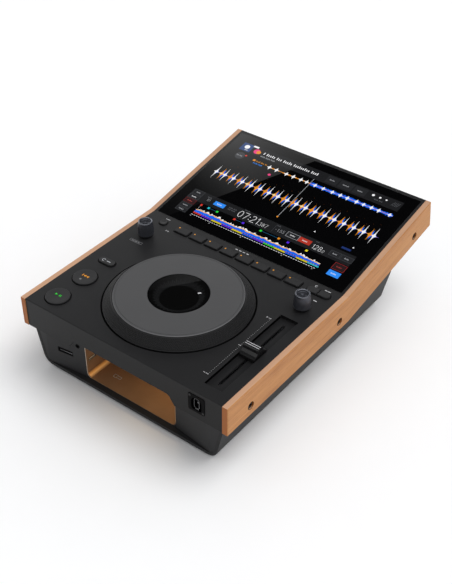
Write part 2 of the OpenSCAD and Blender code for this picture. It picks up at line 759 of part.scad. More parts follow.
// ---- Boards and supply
board_edge = 8;
board_low = floor_z + boss_h;
board_top = board_low + board_t;
fin_count = 8;
fin_pitch = 6;
sink_w = (fin_count - 1) * fin_pitch + 4;

module component(x, y, w, l, h) translate([x, y, board_top]) block(w, l, 0, h);
module can(x, y, r, h) translate([x, y, 0]) disc(r, board_top, board_top + h);
module board(x, w, ys) difference() {
  translate([x, (ys[0] + ys[1]) / 2, 0])
    block(w, ys[1] - ys[0] + 2 * board_edge, board_low, board_top);
  boss_places() disc(base_screw_r + fit, board_low - 1, board_top + 1);
}

module main_board() color([0.05, 0.3, 0.15]) from_front() {
  mid_y = (board_y[0] + board_y[1]) / 2;
  board(0, 2 * (boss_x + board_edge), board_y);
  component(-30, mid_y, sink_w, sink_w, 3);
  for (k = [0 : fin_count - 1])
    component(-30 + (k - (fin_count - 1) / 2) * fin_pitch, mid_y, 2, sink_w - 2, 13);
  component(34, mid_y + 20, 24, 24, 2);
  for (x = [34, 62]) component(x, mid_y - 22, 16, 22, 1.6);
  for (x = [10, 24, 38], y = [25, 45]) can(boss_x - x, mid_y + y, 5, 14);
}

module power_supply() color([0.5, 0.4, 0.2]) from_front() {
  mid_y = (supply_y[0] + supply_y[1]) / 2;
  board(boss_x - 38, 2 * (38 + board_edge), supply_y);
  component(boss_x - 52, mid_y, 34, 40, 26);
  component(boss_x - 20, mid_y - 12, 14, 30, 18);
  for (x = [10, 28]) can(boss_x - x, mid_y + 18, 7, 22);
}

module switch_board(x, w, y0, y1) translate([x, (y0 + y1) / 2, deck_z])
  block(w, y1 - y0, -board_e - board_t, -board_e);

module switch_boards() color([0.05, 0.28, 0.14]) from_front() {
  switch_board(left_x, 2 * board_half, play_y - main_r, round_y + 2 * round_r);
  switch_board(right_x, 2 * board_half, knob_y - 14, pair_y + pair_len / 2 + 2);
  switch_board(0, 2 * (in_x - pad_side) + pad_gap, pad_y - 13.5, pad_y + pad_len / 2 + 4);
}

module tact_switch() block(2 * stem_r + 1, 2 * stem_r + 1, -board_e, -switch_e);
module tact_switches() color([0.12, 0.12, 0.12]) from_front() {
  for (y = [play_y, cue_y, pill_y, round_y]) on_deck(left_x, y) tact_switch();
  for (x = [-1, 1]) on_deck(right_x + x * pair_w / 4, pair_y) tact_switch();
  for (k = [0 : pad_count - 1]) on_deck(pad_x(k), pad_y) tact_switch();
}

// ---- Front panel connector
flange_front = 0.2;
pocket_w = 15;
pocket_h = 19;
pocket_d = 3.6;
pocket_r = 3;
insert_w = 6.4;
insert_h = 13.6;
insert_t = 0.9;
insert_d = 12;
tongue_w = 2.2;

module connector_screw_places() translate([conn_x, 0, deck_z - conn_down])
  for (side = [-1, 1]) translate([side * conn_screw_x, 0, -side * conn_screw_z])
    rotate([-90, 0, 0]) children();

module pocket_form() {
  mid = (pocket_h - pocket_w) / 2;
  low = -pocket_h / 2;
  translate([0, mid]) circle(pocket_w / 2);
  translate([-pocket_w / 2, low + pocket_r]) square([pocket_w, mid - low - pocket_r]);
  translate([pocket_r - pocket_w / 2, low]) square([pocket_w - 2 * pocket_r, pocket_r]);
  for (x = [-1, 1]) translate([x * (pocket_w / 2 - pocket_r), low + pocket_r]) circle(pocket_r);
}

module front_connector() color([0.05, 0.05, 0.055]) from_front() difference() {
  translate([conn_x, 0, deck_z - conn_down]) {
    difference() {
      union() {
        along_y(flange_front, apron_in) rounded(conn_w, conn_h, 2);
        rotate([-90, 0, 0]) disc(connector_r, apron_in, connector_len);
      }
      along_y(-1, pocket_d) pocket_form();
      along_y(0, insert_d) rounded(insert_w, insert_h, 2.4);
    }
    along_y(flange_front + 1, pocket_d) difference() {
      rounded(insert_w + 2 * insert_t, insert_h + 2 * insert_t, 2.4 + insert_t);
      rounded(insert_w, insert_h, 2.4);
    }
    along_y(pocket_d, insert_d) rounded(tongue_w, insert_h - 2 * tongue_w, 1);
    translate([0, 0, (insert_t - pocket_h) / 2]) along_y(pocket_d / 2, pocket_d)
      square([tongue_w * 2, insert_t], center = true);
  }
  connector_screw_places() disc(conn_head_r + fit / 2, -1, apron_in);
}

module connector_screws() color([0.3, 0.3, 0.31]) from_front() connector_screw_places() {
  difference() {
    disc(conn_head_r, flange_front, apron_in);
    disc(conn_head_r / 2, 0, flange_front + 0.4);
  }
  disc(conn_shank_r, apron_in, apron_in + 2 * wall);
}

// ---- Tempo fader
carriage_len = lever_len + 6;
carriage_w = 7.4;
body_h = 9;
body_top = trough_d + trough_floor;
channel_len = fader_run + carriage_len + 2 * rest_gap;

module fader_trough() color([0.15, 0.15, 0.155]) from_front() difference() {
  trough_form(trough_wall, -body_top, -deck_t);
  trough_form(0, -trough_d, 1);
  on_deck(right_x, fader_y) block(slot_w, slot_len, -2 * body_top, 0);
}

module fader_body() color([0.6, 0.6, 0.62]) from_front() on_deck(right_x, fader_y) difference() {
  block(carriage_w + 2 * rest_gap + 5, channel_len + 8, -body_top - body_h, -body_top);
  block(carriage_w + 2 * rest_gap, channel_len, -body_top - body_h + 2, 0);
}

module fader_lever() color([0.75, 0.75, 0.76]) from_front() on_deck(right_x, fader_y) {
  block(carriage_w, carriage_len, -body_top - body_h + 2 + rest_gap, -body_top - body_h + 5.5);
  block(lever_t, lever_len, -body_top - body_h + 5.5, cap_h - 4);
}

module fader_cap() color([0.06, 0.06, 0.065]) from_front() on_deck(right_x, fader_y) difference() {
  low = -trough_d + 0.6;
  half = cap_len / 2;
  top = half * 0.36;
  along_x(cap_w) polygon([[-half, low], [half, low], [half, 1], [half - 1, 1.6],
    [half * 0.72, 3], [top + 1.1, 5.6], [top + 0.4, cap_h - 1], [top - 0.4, cap_h],
    [0.4 - top, cap_h], [-top - 0.4, cap_h - 1], [-top - 1.1, 5.6], [-half * 0.72, 3],
    [1 - half, 1.6], [-half, 1]]);
  block(lever_t + 2 * pocket_gap, lever_len + 2 * pocket_gap, -2 * body_top, cap_h - 4 + pocket_gap);
}

// ---- Knobs
bush_top = 0.3;
pot_e = deck_t + 4;
plunge_e = deck_t + 6;
plunger_t = 1.5;
plunger_r = shaft_r + 1;

shaft_top = knob_h - dish_d - 2;

module knob(r) rotate_extrude() {
  top_r = r - knob_taper;
  lip_in = top_r - lip_w;
  bore = shaft_r + pocket_gap;
  shoulder = [r - 0.3, (knob_low + knob_h) / 2];
  polygon(concat([[bore, knob_low], [r - 0.8, knob_low], [r, knob_low + 0.8]],
    fillet([r, knob_low], shoulder, [top_r, knob_h], 12, 4),
    fillet(shoulder, [top_r, knob_h], [0, knob_h], lip_w / 2 - 0.1, 5),
    fillet([top_r, knob_h], [lip_in, knob_h], [lip_in, 0], lip_w / 2 - 0.1, 5),
    [[lip_in, knob_h - dish_d], [0, knob_h - dish_d], [0, shaft_top], [bore, shaft_top]]));
}
module shaft(r, low_e, collar_low) {
  disc(shaft_r, -low_e, shaft_top - pocket_gap);
  disc(r - 3, collar_low, knob_low);
}
module knob_base(w, cavity_e) difference() {
  union() {
    block(w, w, -board_e, -deck_t);
    disc(knob_bush_r, -deck_t, bush_top);
  }
  disc(shaft_r + bearing_gap, -cavity_e, 2 * bush_top);
}

module level_knob() color([0.3, 0.3, 0.33]) from_front() on_deck(left_x, knob_y) knob(level_r);
module level_shaft() color([0.1, 0.1, 0.1]) from_front() on_deck(left_x, knob_y)
  shaft(level_r, pot_e, bush_top + rest_gap);
module level_pot() color([0.4, 0.4, 0.42]) from_front() on_deck(left_x, knob_y)
  knob_base(14, pot_e + rest_gap);

module selector_knob() color([0.3, 0.3, 0.33]) from_front() on_deck(right_x, knob_y)
  knob(selector_r);
module selector_shaft() color([0.1, 0.1, 0.1]) from_front() on_deck(right_x, knob_y)
  shaft(selector_r, plunge_e, bush_top + push + rest_gap);
module selector_plunger() color([0.6, 0.6, 0.62]) from_front() on_deck(right_x, knob_y)
  disc(plunger_r, -plunge_e - plunger_t, -plunge_e);
module selector_body() color([0.4, 0.4, 0.42]) from_front() on_deck(right_x, knob_y) difference() {
  knob_base(16, plunge_e);
  disc(plunger_r + fit, -plunge_e - plunger_t - push - rest_gap, -plunge_e + rest_gap);
}

// ---- Jog wheel
plate_t = 3;
plate_e = jog_h - plate_t;
seat_in = jog_top_r - 8;
hub_in = display_r + 2.7;
hub_out = hub_in + 4;
hub_low = -20;
tube_r = bearing_r + bearing_gap;
post_r = bearing_r - 7;
post_top = 3;
bowl_floor = 2.5;
cable_r = 12;
lens_t = 1.6;
lens_in = 0.2;
lens_low = jog_h - lens_in - lens_t;
rim_w = 1;

module jog_ring() color([0.16, 0.16, 0.165]) from_front() on_deck(0, jog_y) rotate_extrude($fn = 180)
  polygon([[jog_r, -2], [jog_r, 0.8], [jog_top_r + 1.6, jog_h - 1], [jog_top_r + 1, jog_h - 0.4],
    [jog_top_r + 0.1, jog_h - 0.4], [jog_top_r + 0.1, plate_e], [seat_in, plate_e],
    [seat_in, plate_e - jog_wall], [jog_top_r + 0.4, plate_e - jog_wall],
    [jog_r - 1.5 * jog_wall, -2]]);

module jog_top_plate() color([0.42, 0.42, 0.43]) from_front() on_deck(0, jog_y)
  rotate_extrude($fn = 180) polygon([[display_r + display_gap, plate_e], [jog_top_r, plate_e],
    [jog_top_r, jog_h - 0.5], [jog_top_r - 0.5, jog_h], [display_r + display_gap + 0.3, jog_h],
    [display_r + display_gap, jog_h - 0.3]]);

module jog_hub() color([0.2, 0.2, 0.2]) from_front() on_deck(0, jog_y) rotate_extrude()
  polygon([[tube_r, hub_low], [tube_r + 5, hub_low], [tube_r + 5, -1.5], [hub_out, -1.5],
    [hub_out, plate_e - jog_wall], [seat_in - 0.4, plate_e - jog_wall], [seat_in - 0.4, plate_e],
    [hub_in, plate_e], [hub_in, 1.5], [tube_r, 1.5]]);

module jog_base() color([0.14, 0.14, 0.14]) from_front() on_deck(0, jog_y) rotate_extrude()
  polygon([[cable_r, -bowl_d], [hole_r - 11, -bowl_d], [hole_r + 2, -deck_t - 2],
    [hole_r + 6, -deck_t - 2], [hole_r + 6, -deck_t], [hole_r, -deck_t],
    [hole_r - 12, -bowl_d + bowl_floor], [bearing_r - 2, -bowl_d + bowl_floor],
    [bearing_r - 2, hub_low], [post_r, hub_low], [post_r, post_top], [cable_r, post_top]]);

module jog_bush() color([0.75, 0.65, 0.4]) from_front() on_deck(0, jog_y) difference() {
  disc(bearing_r, hub_low, 1);
  disc(post_r + bearing_gap, hub_low - 1, 2);
}

module jog_display() color([0.05, 0.05, 0.055]) from_front() on_deck(0, jog_y) rotate_extrude()
  polygon([[0, post_top], [display_r, post_top], [display_r, jog_h - lens_in],
    [display_r - rim_w / 2, jog_h - lens_in], [display_r - rim_w / 2, lens_low],
    [display_r - 2 * rim_w, lens_low], [dish_r, jog_h - dish_low], [0, jog_h - dish_low]]);

module jog_lens() color([0.02, 0.02, 0.02]) from_front() on_deck(0, jog_y)
  disc(display_r - rim_w / 2 - pocket_gap, lens_low, jog_h - lens_in);

// ---- Push buttons
cap_edge = 0.5;

module cap_round(r) rotate_extrude() polygon([[0, -stem_e], [stem_r, -stem_e],
  [stem_r, -flange_e], [r + button_gap + flange_out, -flange_e],
  [r + button_gap + flange_out, flange_t - flange_e], [r, flange_t - flange_e],
  [r, button_h - cap_edge], [r - cap_edge, button_h], [r * 0.8, button_h], [0, button_h - 0.4]]);

module cap_stem() disc(stem_r, -stem_e, -flange_e);
module cap_part(low, h) translate([0, 0, low]) linear_extrude(h) children();

module cap_block(w, l, r) {
  out = 2 * (button_gap + flange_out);
  cap_stem();
  cap_part(-flange_e, flange_t) rounded(w + out, l + out, r + 1);
  cap_part(-flange_e, flange_e + button_h - cap_edge) rounded(w, l, r);
  cap_part(button_h - cap_edge, cap_edge)
    rounded(w - 2 * cap_edge, l - 2 * cap_edge, r - cap_edge);
}

module half_pill(out, split) {
  r = pair_len / 2;
  translate([r - pair_w / 2, 0]) circle(r + out);
  translate([r - pair_w / 2, -r - out]) square([pair_w / 2 - r - split, pair_len + 2 * out]);
}

module pair_half() {
  translate([-pair_w / 4, 0, 0]) cap_stem();
  cap_part(-flange_e, flange_t) half_pill(button_gap + flange_out, pair_gap / 2);
  cap_part(-flange_e, flange_e + button_h - cap_edge) half_pill(0, pair_gap / 2);
  cap_part(button_h - cap_edge, cap_edge) half_pill(-cap_edge, pair_gap / 2 + cap_edge);
}

module play_button() color([0.27, 0.27, 0.28]) from_front() on_deck(left_x, play_y) cap_round(main_r);
module cue_button() color([0.27, 0.27, 0.28]) from_front() on_deck(left_x, cue_y) cap_round(main_r);
module round_button() color([0.25, 0.25, 0.26]) from_front() on_deck(left_x, round_y)
  cap_round(round_r);
module pill_button() color([0.25, 0.25, 0.26]) from_front() on_deck(left_x, pill_y)
  cap_block(pill_w, pill_len, pill_len / 2 - 0.05);
module pair_left() color([0.25, 0.25, 0.26]) from_front() on_deck(right_x, pair_y) pair_half();
module pair_right() color([0.25, 0.25, 0.26]) from_front() on_deck(right_x, pair_y)
  mirror([1, 0, 0]) pair_half();
module pad(k) color([0.24, 0.24, 0.25]) from_front() on_deck(pad_x(k), pad_y)
  cap_block(pad_w, pad_len, 1.6);

bottom_shell();
front_plate();
media_cave();
cave_light_guide();
top_deck();
screen_bezel();
screen_glass();
lcd_panel();
cheek_left();
cheek_right();
cheek_screws();
rear_panel();
rca_jacks();
lan_socket();
host_socket();
power_inlet();
power_button();
feet();
base_screws();
main_board();
power_supply();
switch_boards();
tact_switches();
front_connector();
connector_screws();
cave_socket();
card_slot();
mini_jack();
fader_cap();
fader_lever();
fader_trough();
fader_body();
level_knob();
level_shaft();
level_pot();
selector_knob();
selector_shaft();
selector_plunger();
selector_body();
jog_ring();
jog_top_plate();
jog_hub();
jog_base();
jog_bush();
jog_display();
jog_lens();
play_button();
cue_button();
pill_button();
round_button();
pair_left();
pair_right();
pad(0);  // pad_1
pad(1);  // pad_2
pad(2);  // pad_3
pad(3);  // pad_4
pad(4);  // pad_5
pad(5);  // pad_6
pad(6);  // pad_7
pad(7);  // pad_8
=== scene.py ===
"""Looks, small parts and studio for the tabletop DJ media player."""

import json
import math
import random

import bpy
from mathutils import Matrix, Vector

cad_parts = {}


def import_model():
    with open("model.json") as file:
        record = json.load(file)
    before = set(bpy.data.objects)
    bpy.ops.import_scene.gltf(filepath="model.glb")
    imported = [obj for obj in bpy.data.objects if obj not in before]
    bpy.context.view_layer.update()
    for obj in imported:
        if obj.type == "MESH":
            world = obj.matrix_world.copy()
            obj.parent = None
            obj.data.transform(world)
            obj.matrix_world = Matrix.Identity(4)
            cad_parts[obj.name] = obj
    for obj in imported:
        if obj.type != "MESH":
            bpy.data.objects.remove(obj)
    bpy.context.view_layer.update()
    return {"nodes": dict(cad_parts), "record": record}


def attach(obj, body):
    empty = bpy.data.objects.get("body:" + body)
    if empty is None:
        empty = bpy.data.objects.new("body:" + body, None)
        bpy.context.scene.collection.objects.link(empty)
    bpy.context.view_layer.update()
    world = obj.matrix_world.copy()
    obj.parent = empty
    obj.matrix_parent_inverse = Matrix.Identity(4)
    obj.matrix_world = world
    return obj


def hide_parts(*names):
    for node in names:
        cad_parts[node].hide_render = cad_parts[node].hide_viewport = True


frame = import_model()
nodes = frame["nodes"]

# ---- The part's own lines, in millimetres: x from the middle, y from the front edge
FRONT = -231.5185                   # the front edge in the part's frame
HALF_WIDTH = 165.0
DECK = 104.6                        # height of the level deck
FOLD = 250.8                        # where the deck folds up
BACK_LEN = 208.0                    # length of the slope behind the fold
TILT = math.radians(10)
LEFT_X, RIGHT_X = -127.0, 129.7     # the columns of controls beside the jog wheel
PLAY_Y, CUE_Y, PILL_Y, KNOB_Y = 28.7, 78.0, 120.0, 197.9
ROUND_Y, PAD_Y, PAIR_Y = 234.7, 234.3, 235.3
MAIN_R, ROUND_R = 16.0, 5.6
PILL_W, PILL_LEN = 25.4, 11.6
PAIR_W, PAIR_LEN = 33.6, 11.0
PAD_COUNT, PAD_PITCH, PAD_LEN, PAD_GAP = 8, 26.25, 12.8, 4.4
BUTTON_H, BUTTON_GAP = 2.0, 0.5
JOG_Y, JOG_R, JOG_TOP_R, JOG_H, JOG_GAP = 115.0, 96.2, 83.0, 13.2, 1.0
DISH_R, DISH_DEPTH, DISH_SLOPE = 23.7, 8.4, 6.6 / 13.3
FADER_Y, CAP_TOP = 94.9, 10.8
TROUGH_HALF_W, TROUGH_D = 12.9, 4.5
CAVE_Y, CAVE_FLOOR, CAVE_TOP, CAVE_HALF, CAVE_R = 15.5, 8.5, 73.1, 73.0, 7.0
WING = math.radians(7.228)          # slant of the wings beside the cave
CARD_OUT = 33.0                     # the card slot's middle along its wing
CONN_X, CONN_Z = 119.5, 85.6        # the front connector's middle
SCREW_END, SCREW_FOLD, SCREW_DROP = 44.0, 17.8, 28.0
REAR_Y, REAR_MID = 382.5, 36.0
JACKS = {-78.0: "red", -50.0: "white", -34.0: "amber"}


def mm(x, y, z):
    """A place in the frame, in metres."""
    return Vector((x, y + FRONT, z)) / 1000


def deck(x, y, up):
    """up is above the level deck."""
    return mm(x, y, DECK + up)


def screen(x, v, up):
    """v runs up the slope from the fold."""
    return mm(x, FOLD + v * math.cos(TILT) - up * math.sin(TILT),
              DECK + v * math.sin(TILT) + up * math.cos(TILT))


def left_wing(along, z, out):
    """along runs outwards from the cave on the slanted wing to its left."""
    return mm(-CAVE_HALF - along * math.cos(WING) - out * math.sin(WING),
              CAVE_Y - along * math.sin(WING) - out * math.cos(WING), z)


def pad_x(k):
    return (k - (PAD_COUNT - 1) / 2) * PAD_PITCH


def srgb(r, g, b):
    """A colour as it shows on a screen, 0 to 255, as linear light."""
    parts = [c / 255 for c in (r, g, b)]
    return tuple(c / 12.92 if c <= 0.04045 else ((c + 0.055) / 1.055) ** 2.4 for c in parts)


# ---- Materials
def node(tree, kind, inputs=None, **settings):
    """A shader node. A socket given as an input is linked, anything else is set on it."""
    made = tree.nodes.new(kind)
    for key, value in settings.items():
        setattr(made, key, value)
    for key, value in (inputs or {}).items():
        if isinstance(value, bpy.types.NodeSocket):
            tree.links.new(value, made.inputs[key])
        else:
            made.inputs[key].default_value = value
    return made


def math_node(tree, operation, a, b):
    return node(tree, "ShaderNodeMath", {0: a, 1: b}, operation=operation).outputs[0]


def coords(tree, kind="Object"):
    return node(tree, "ShaderNodeTexCoord").outputs[kind]


def split(tree, vector):
    return node(tree, "ShaderNodeSeparateXYZ", {0: vector}).outputs


def mix(tree, factor, a, b, blend_type="MIX"):
    return node(tree, "ShaderNodeMix", {0: factor, 6: a, 7: b}, data_type="RGBA",
                blend_type=blend_type).outputs[2]


def map_range(tree, value, low, high, to_low=0.0, to_high=1.0):
    return node(tree, "ShaderNodeMapRange", {
        "Value": value, "From Min": low, "From Max": high, "To Min": to_low,
        "To Max": to_high}).outputs[0]


def ramp(tree, factor, stops):
    """stops are pairs of a place from 0 to 1 and a colour."""
    made = node(tree, "ShaderNodeValToRGB", {"Fac": factor})
    bar = made.color_ramp.elements
    while len(bar) < len(stops):
        bar.new(0.5)
    for element, (place, colour) in zip(bar, stops):
        element.position = place
        element.color = (*colour[:3], 1)
    return made.outputs["Color"]


def shade(colour, k):
    return tuple(min(c * k, 1.0) for c in colour)


def noise(tree, scale, detail=2.0, vector=None):
    return node(tree, "ShaderNodeTexNoise", {"Vector": vector or coords(tree), "Scale": scale,
                                             "Detail": detail}).outputs["Fac"]


def blank(name):
    """A new material with its node tree and its shader."""
    made = bpy.data.materials.new(name)
    made.use_nodes = True
    return made, made.node_tree, made.node_tree.nodes["Principled BSDF"]


def surface(name, colour, rough, metallic=0.0, mottle=0.05, grain=0.01, scale=2200.0,
            edge=0.25, specular=0.5):
    """A finish with uneven colour and gloss, fine relief and softened edges. grain is the depth
    of the relief and edge the radius of the edges, in mm."""
    made, tree, shader = blank(name)
    broad = noise(tree, 28.0, 4.0)
    fine = noise(tree, scale, 3.0)
    tree.links.new(ramp(tree, broad, [(0.3, shade(colour, 1 - mottle)),
                                      (0.7, shade(colour, 1 + mottle))]),
                   shader.inputs["Base Color"])
    gloss = map_range(tree, fine, 0.3, 0.7, rough * 0.9, rough * 1.1)
    tree.links.new(gloss, shader.inputs["Roughness"])
    shader.inputs["Metallic"].default_value = metallic
    shader.inputs["Specular IOR Level"].default_value = specular
    bump = node(tree, "ShaderNodeBump", {"Height": fine, "Distance": grain / 1000,
                                         "Strength": 0.6})
    if edge:
        soft = node(tree, "ShaderNodeBevel", {"Radius": edge / 1000}, samples=4)
        tree.links.new(soft.outputs[0], bump.inputs["Normal"])
    tree.links.new(bump.outputs[0], shader.inputs["Normal"])
    return made


def deck_paint_and_apron_shade():
    """Charcoal paint, and painted shade: a darker charcoal on the apron that turns down at the
    front.
    """
    made = surface("charcoal_deck", srgb(35, 35, 36), 0.42, grain=0.02, edge=0.35, specular=0.2)
    tree = made.node_tree
    shader = tree.nodes["Principled BSDF"]
    paint = shader.inputs["Base Color"].links[0].from_socket
    facing = split(tree, coords(tree, "Normal"))[1]
    # painted shade: faces that look forward, the apron, get the darker charcoal
    front = math_node(tree, "LESS_THAN", facing, -0.8)
    tree.links.new(mix(tree, front, paint, (*srgb(14, 14, 15), 1)), shader.inputs["Base Color"])
    return made


def wood():
    """Pale cherry with straight grain that follows the plank round the fold."""
    made, tree, shader = blank("cherry")
    x, y, z = split(tree, coords(tree))
    behind = math_node(tree, "MAXIMUM", math_node(tree, "SUBTRACT", y, (FOLD + FRONT) / 1000), 0.0)
    flat = math_node(tree, "SUBTRACT", z, math_node(tree, "MULTIPLY", behind, math.tan(TILT)))

    def along(stretch):
        run = math_node(tree, "MULTIPLY", y, stretch)
        return node(tree, "ShaderNodeCombineXYZ", {0: x, 1: run, 2: flat}).outputs[0]

    bands = node(tree, "ShaderNodeTexNoise", {"Vector": along(0.05), "Scale": 95.0,
                                              "Detail": 5.0, "Distortion": 0.7}).outputs["Fac"]
    streaks = noise(tree, 620.0, 4.0, along(0.018))
    pores = noise(tree, 1900.0, 2.0, along(0.02))
    patch = noise(tree, 16.0, 2.0, along(0.3))
    mixed = math_node(tree, "ADD", math_node(tree, "MULTIPLY", bands, 0.5),
                      math_node(tree, "MULTIPLY", streaks, 0.28))
    mixed = math_node(tree, "ADD", mixed, math_node(tree, "MULTIPLY", patch, 0.22))
    body = ramp(tree, mixed, [(0.36, srgb(172, 114, 62)), (0.47, srgb(184, 127, 74)),
                              (0.56, srgb(190, 134, 80)), (0.66, srgb(198, 144, 90))])
    holes = ramp(tree, pores, [(0.36, (0.72, 0.66, 0.6)), (0.44, (1, 1, 1))])
    tint = mix(tree, 0.8, body, holes, "MULTIPLY")
    faces = split(tree, coords(tree, "Normal"))
    # end faces darker and redder: the end grain's own tone, deepened as painted shade of the front
    # ends
    end = math_node(tree, "GREATER_THAN", math_node(tree, "ABSOLUTE", faces[1], 0.0), 0.8)
    top = math_node(tree, "GREATER_THAN", faces[2], 0.8)
    end_grain_and_shade = mix(tree, end, tint, (0.36, 0.11, 0.02, 1))
    # painted highlight: top faces are mixed part way to a pale pink, as sheen
    top_sheen_painted = mix(tree, math_node(tree, "MULTIPLY", top, 0.45), end_grain_and_shade, (0.66, 0.45, 0.34, 1))
    tree.links.new(top_sheen_painted, shader.inputs["Base Color"])
    shader.inputs["Specular IOR Level"].default_value = 0.3
    tree.links.new(map_range(tree, streaks, 0, 1, 0.4, 0.58), shader.inputs["Roughness"])
    soft = node(tree, "ShaderNodeBevel", {"Radius": 0.0004}, samples=4)
    bump = node(tree, "ShaderNodeBump", {"Height": mixed, "Distance": 0.00008, "Strength": 0.5,
                                         "Normal": soft.outputs[0]})
    tree.links.new(bump.outputs[0], shader.inputs["Normal"])
    return made


def tinted(name, rough, lit):
    """Takes its colour from the faces of the piece: printed ink and painted highlights, or light
    where lit is above 0.
    """
    made, tree, shader = blank(name)
    tint = node(tree, "ShaderNodeAttribute", attribute_name="tint").outputs["Color"]
    cloud = noise(tree, 900.0, 3.0)
    wear = ramp(tree, cloud, [(0.3, (0.94, 0.94, 0.94)), (0.7, (1, 1, 1))])
    mixed = mix(tree, 1.0, tint, wear, "MULTIPLY")
    if lit:
        shader.inputs["Base Color"].default_value = (0.01, 0.01, 0.011, 1)
        tree.links.new(mixed, shader.inputs["Emission Color"])
        shader.inputs["Emission Strength"].default_value = lit
    else:
        tree.links.new(mixed, shader.inputs["Base Color"])
    shader.inputs["Roughness"].default_value = rough
    bump = node(tree, "ShaderNodeBump", {"Height": cloud, "Distance": 0.004 / 1000})
    tree.links.new(bump.outputs[0], shader.inputs["Normal"])
    return made


def smoked(name, share):
    """A thin clear cover that shows what lies under it and a little of what it reflects."""
    made, tree, shader = blank(name)
    haze = map_range(tree, noise(tree, 60.0), 0, 1, 0.004, 0.012)
    tree.links.new(haze, shader.inputs["Roughness"])
    shader.inputs["Base Color"].default_value = (0.004, 0.004, 0.004, 1)
    shader.inputs["Alpha"].default_value = share
    return made


def light_guide():
    """A frosted strip in the cave's bend: lit along its middle, dull at both edges and inside."""
    made = surface("amber_guide", srgb(150, 104, 66), 0.4, mottle=0.08, edge=0)
    tree = made.node_tree
    x, y, z = split(tree, coords(tree))
    start = (-CAVE_HALF - CAVE_FLOOR - CAVE_R) / 1000
    mouth, fade = (FRONT + CAVE_Y) / 1000, 60 / 1000
    round_bend = map_range(tree, math_node(tree, "SUBTRACT", x, z), start,
                           start + 2 * CAVE_R / 1000)
    inwards = map_range(tree, y, mouth, mouth + fade, 0.6, 0.18)
    lit = ramp(tree, round_bend, [(0.1, (0.02, 0.01, 0.005)), (0.4, srgb(206, 136, 62)),
                                  (0.55, srgb(222, 160, 90)), (0.95, (0.02, 0.01, 0.005))])
    shader = tree.nodes["Principled BSDF"]
    tree.links.new(lit, shader.inputs["Emission Color"])
    tree.links.new(inwards, shader.inputs["Emission Strength"])
    return made


MATERIALS = {
    "deck_metal": deck_paint_and_apron_shade(),
    "front_metal": surface("charcoal_front", srgb(46, 46, 47), 0.5, grain=0.02, specular=0.2),
    "lower_housing": surface("charcoal_housing", srgb(40, 40, 41), 0.55, grain=0.03,
                             specular=0.2),
    "cave_metal": surface("bronze_cave", srgb(172, 134, 98), 0.42, 0.4, 0.1),
    "light_guide": light_guide(),
    "bezel": surface("bezel_satin", srgb(30, 30, 31), 0.38),
    "black_glass": surface("black_glass", srgb(6, 6, 7), 0.014, grain=0.0001, scale=300.0,
                           edge=0.3, specular=0.65),
    "clear_lens": smoked("clear_lens", 0.65),
    "lcd": surface("display_metal", srgb(120, 122, 126), 0.4, 0.8),
    "cheek_wood": wood(),
    "black_screw": surface("black_oxide", srgb(14, 15, 17), 0.3, 0.1),
    "rear_metal": surface("rear_paint", srgb(44, 44, 45), 0.5, grain=0.02),
    "jack_metal": surface("plated_jack", srgb(205, 200, 185), 0.2, 1.0),
    "socket_metal": surface("plated_socket", srgb(190, 192, 196), 0.26, 1.0),
    "black_plastic": surface("black_moulding", srgb(7, 7, 8), 0.4, grain=0.02, specular=0.03),
    "button_plastic": surface("button_satin", srgb(42, 42, 43), 0.44, grain=0.015, specular=0.3),
    "small_button": surface("small_button_satin", srgb(42, 42, 43), 0.44, grain=0.015,
                            specular=0.3),
    "foot_rubber": surface("foot_rubber", srgb(24, 24, 24), 0.8, grain=0.05),
    "plain_screw": surface("zinc_screw", srgb(150, 150, 152), 0.35, 1.0),
    "board": surface("green_lacquer", srgb(20, 78, 44), 0.3),
    "supply": surface("supply_board", srgb(150, 118, 72), 0.5, mottle=0.2),
    "switch_plastic": surface("switch_moulding", srgb(30, 30, 31), 0.5),
    "slot_plastic": surface("slot_moulding", srgb(8, 8, 9), 0.4, specular=0.08),
    "cap_plastic": surface("cap_satin", srgb(20, 20, 21), 0.28, edge=0.3),
    "lever_metal": surface("lever_plate", srgb(180, 182, 185), 0.3, 1.0),
    "trough_plastic": surface("trough_matt", srgb(32, 32, 33), 0.5, specular=0.17),
    "knob_metal": surface("knob_anodised", srgb(84, 86, 93), 0.34, 0.75, grain=0.03),
    "shaft_plastic": surface("shaft_black", srgb(15, 15, 16), 0.5),
    "pot_metal": surface("pot_plate", srgb(170, 172, 176), 0.32, 1.0),
    "jog_side": surface("jog_side_satin", srgb(24, 24, 25), 0.36, edge=0, specular=0.24),
    "jog_plate": surface("jog_plate_satin", srgb(80, 80, 81), 0.42, 0.1, 0.02, edge=0,
                         specular=0.25),
    "hub_plastic": surface("hub_moulding", srgb(22, 22, 23), 0.5),
    "bush": surface("sintered_bush", srgb(190, 152, 92), 0.4, 1.0),
    "display_housing": surface("display_black", srgb(3, 3, 4), 0.6, edge=0, specular=0.02),
    "pad_rubber": surface("pad_silicone", srgb(38, 38, 39), 0.5, grain=0.02, specular=0.3),
}
# printed marks, and also painted highlights on edges in the cave, the sockets, the card slot and
# the fader cap
PRINT_AND_HIGHLIGHT = tinted("print_and_painted_highlight", 0.5, 0)
LIGHT = tinted("lit_picture", 0.02, 1.0)
LAMP = tinted("lit_symbol", 0.3, 1.0)
BRIGHT = tinted("lit_marker", 0.3, 5.2)
# painted highlight: a lighter copy of the knob metal for the knobs' rounded rims
RIM_HIGHLIGHT = surface("rim_painted_highlight", srgb(140, 143, 152), 0.24, 0.95, edge=0)
# near-black for painted shade and painted shadow in gaps, the fader trough and the counterbores
SHADE_PAINT = surface("painted_shade_black", srgb(4, 4, 4), 0.9, grain=0.0, edge=0, specular=0.02)
# painted highlight: a lighter copy of the jog plate's material for its bevel
BEVEL_HIGHLIGHT = surface("jog_bevel_highlight", srgb(112, 112, 114), 0.34, 0.3, edge=0)
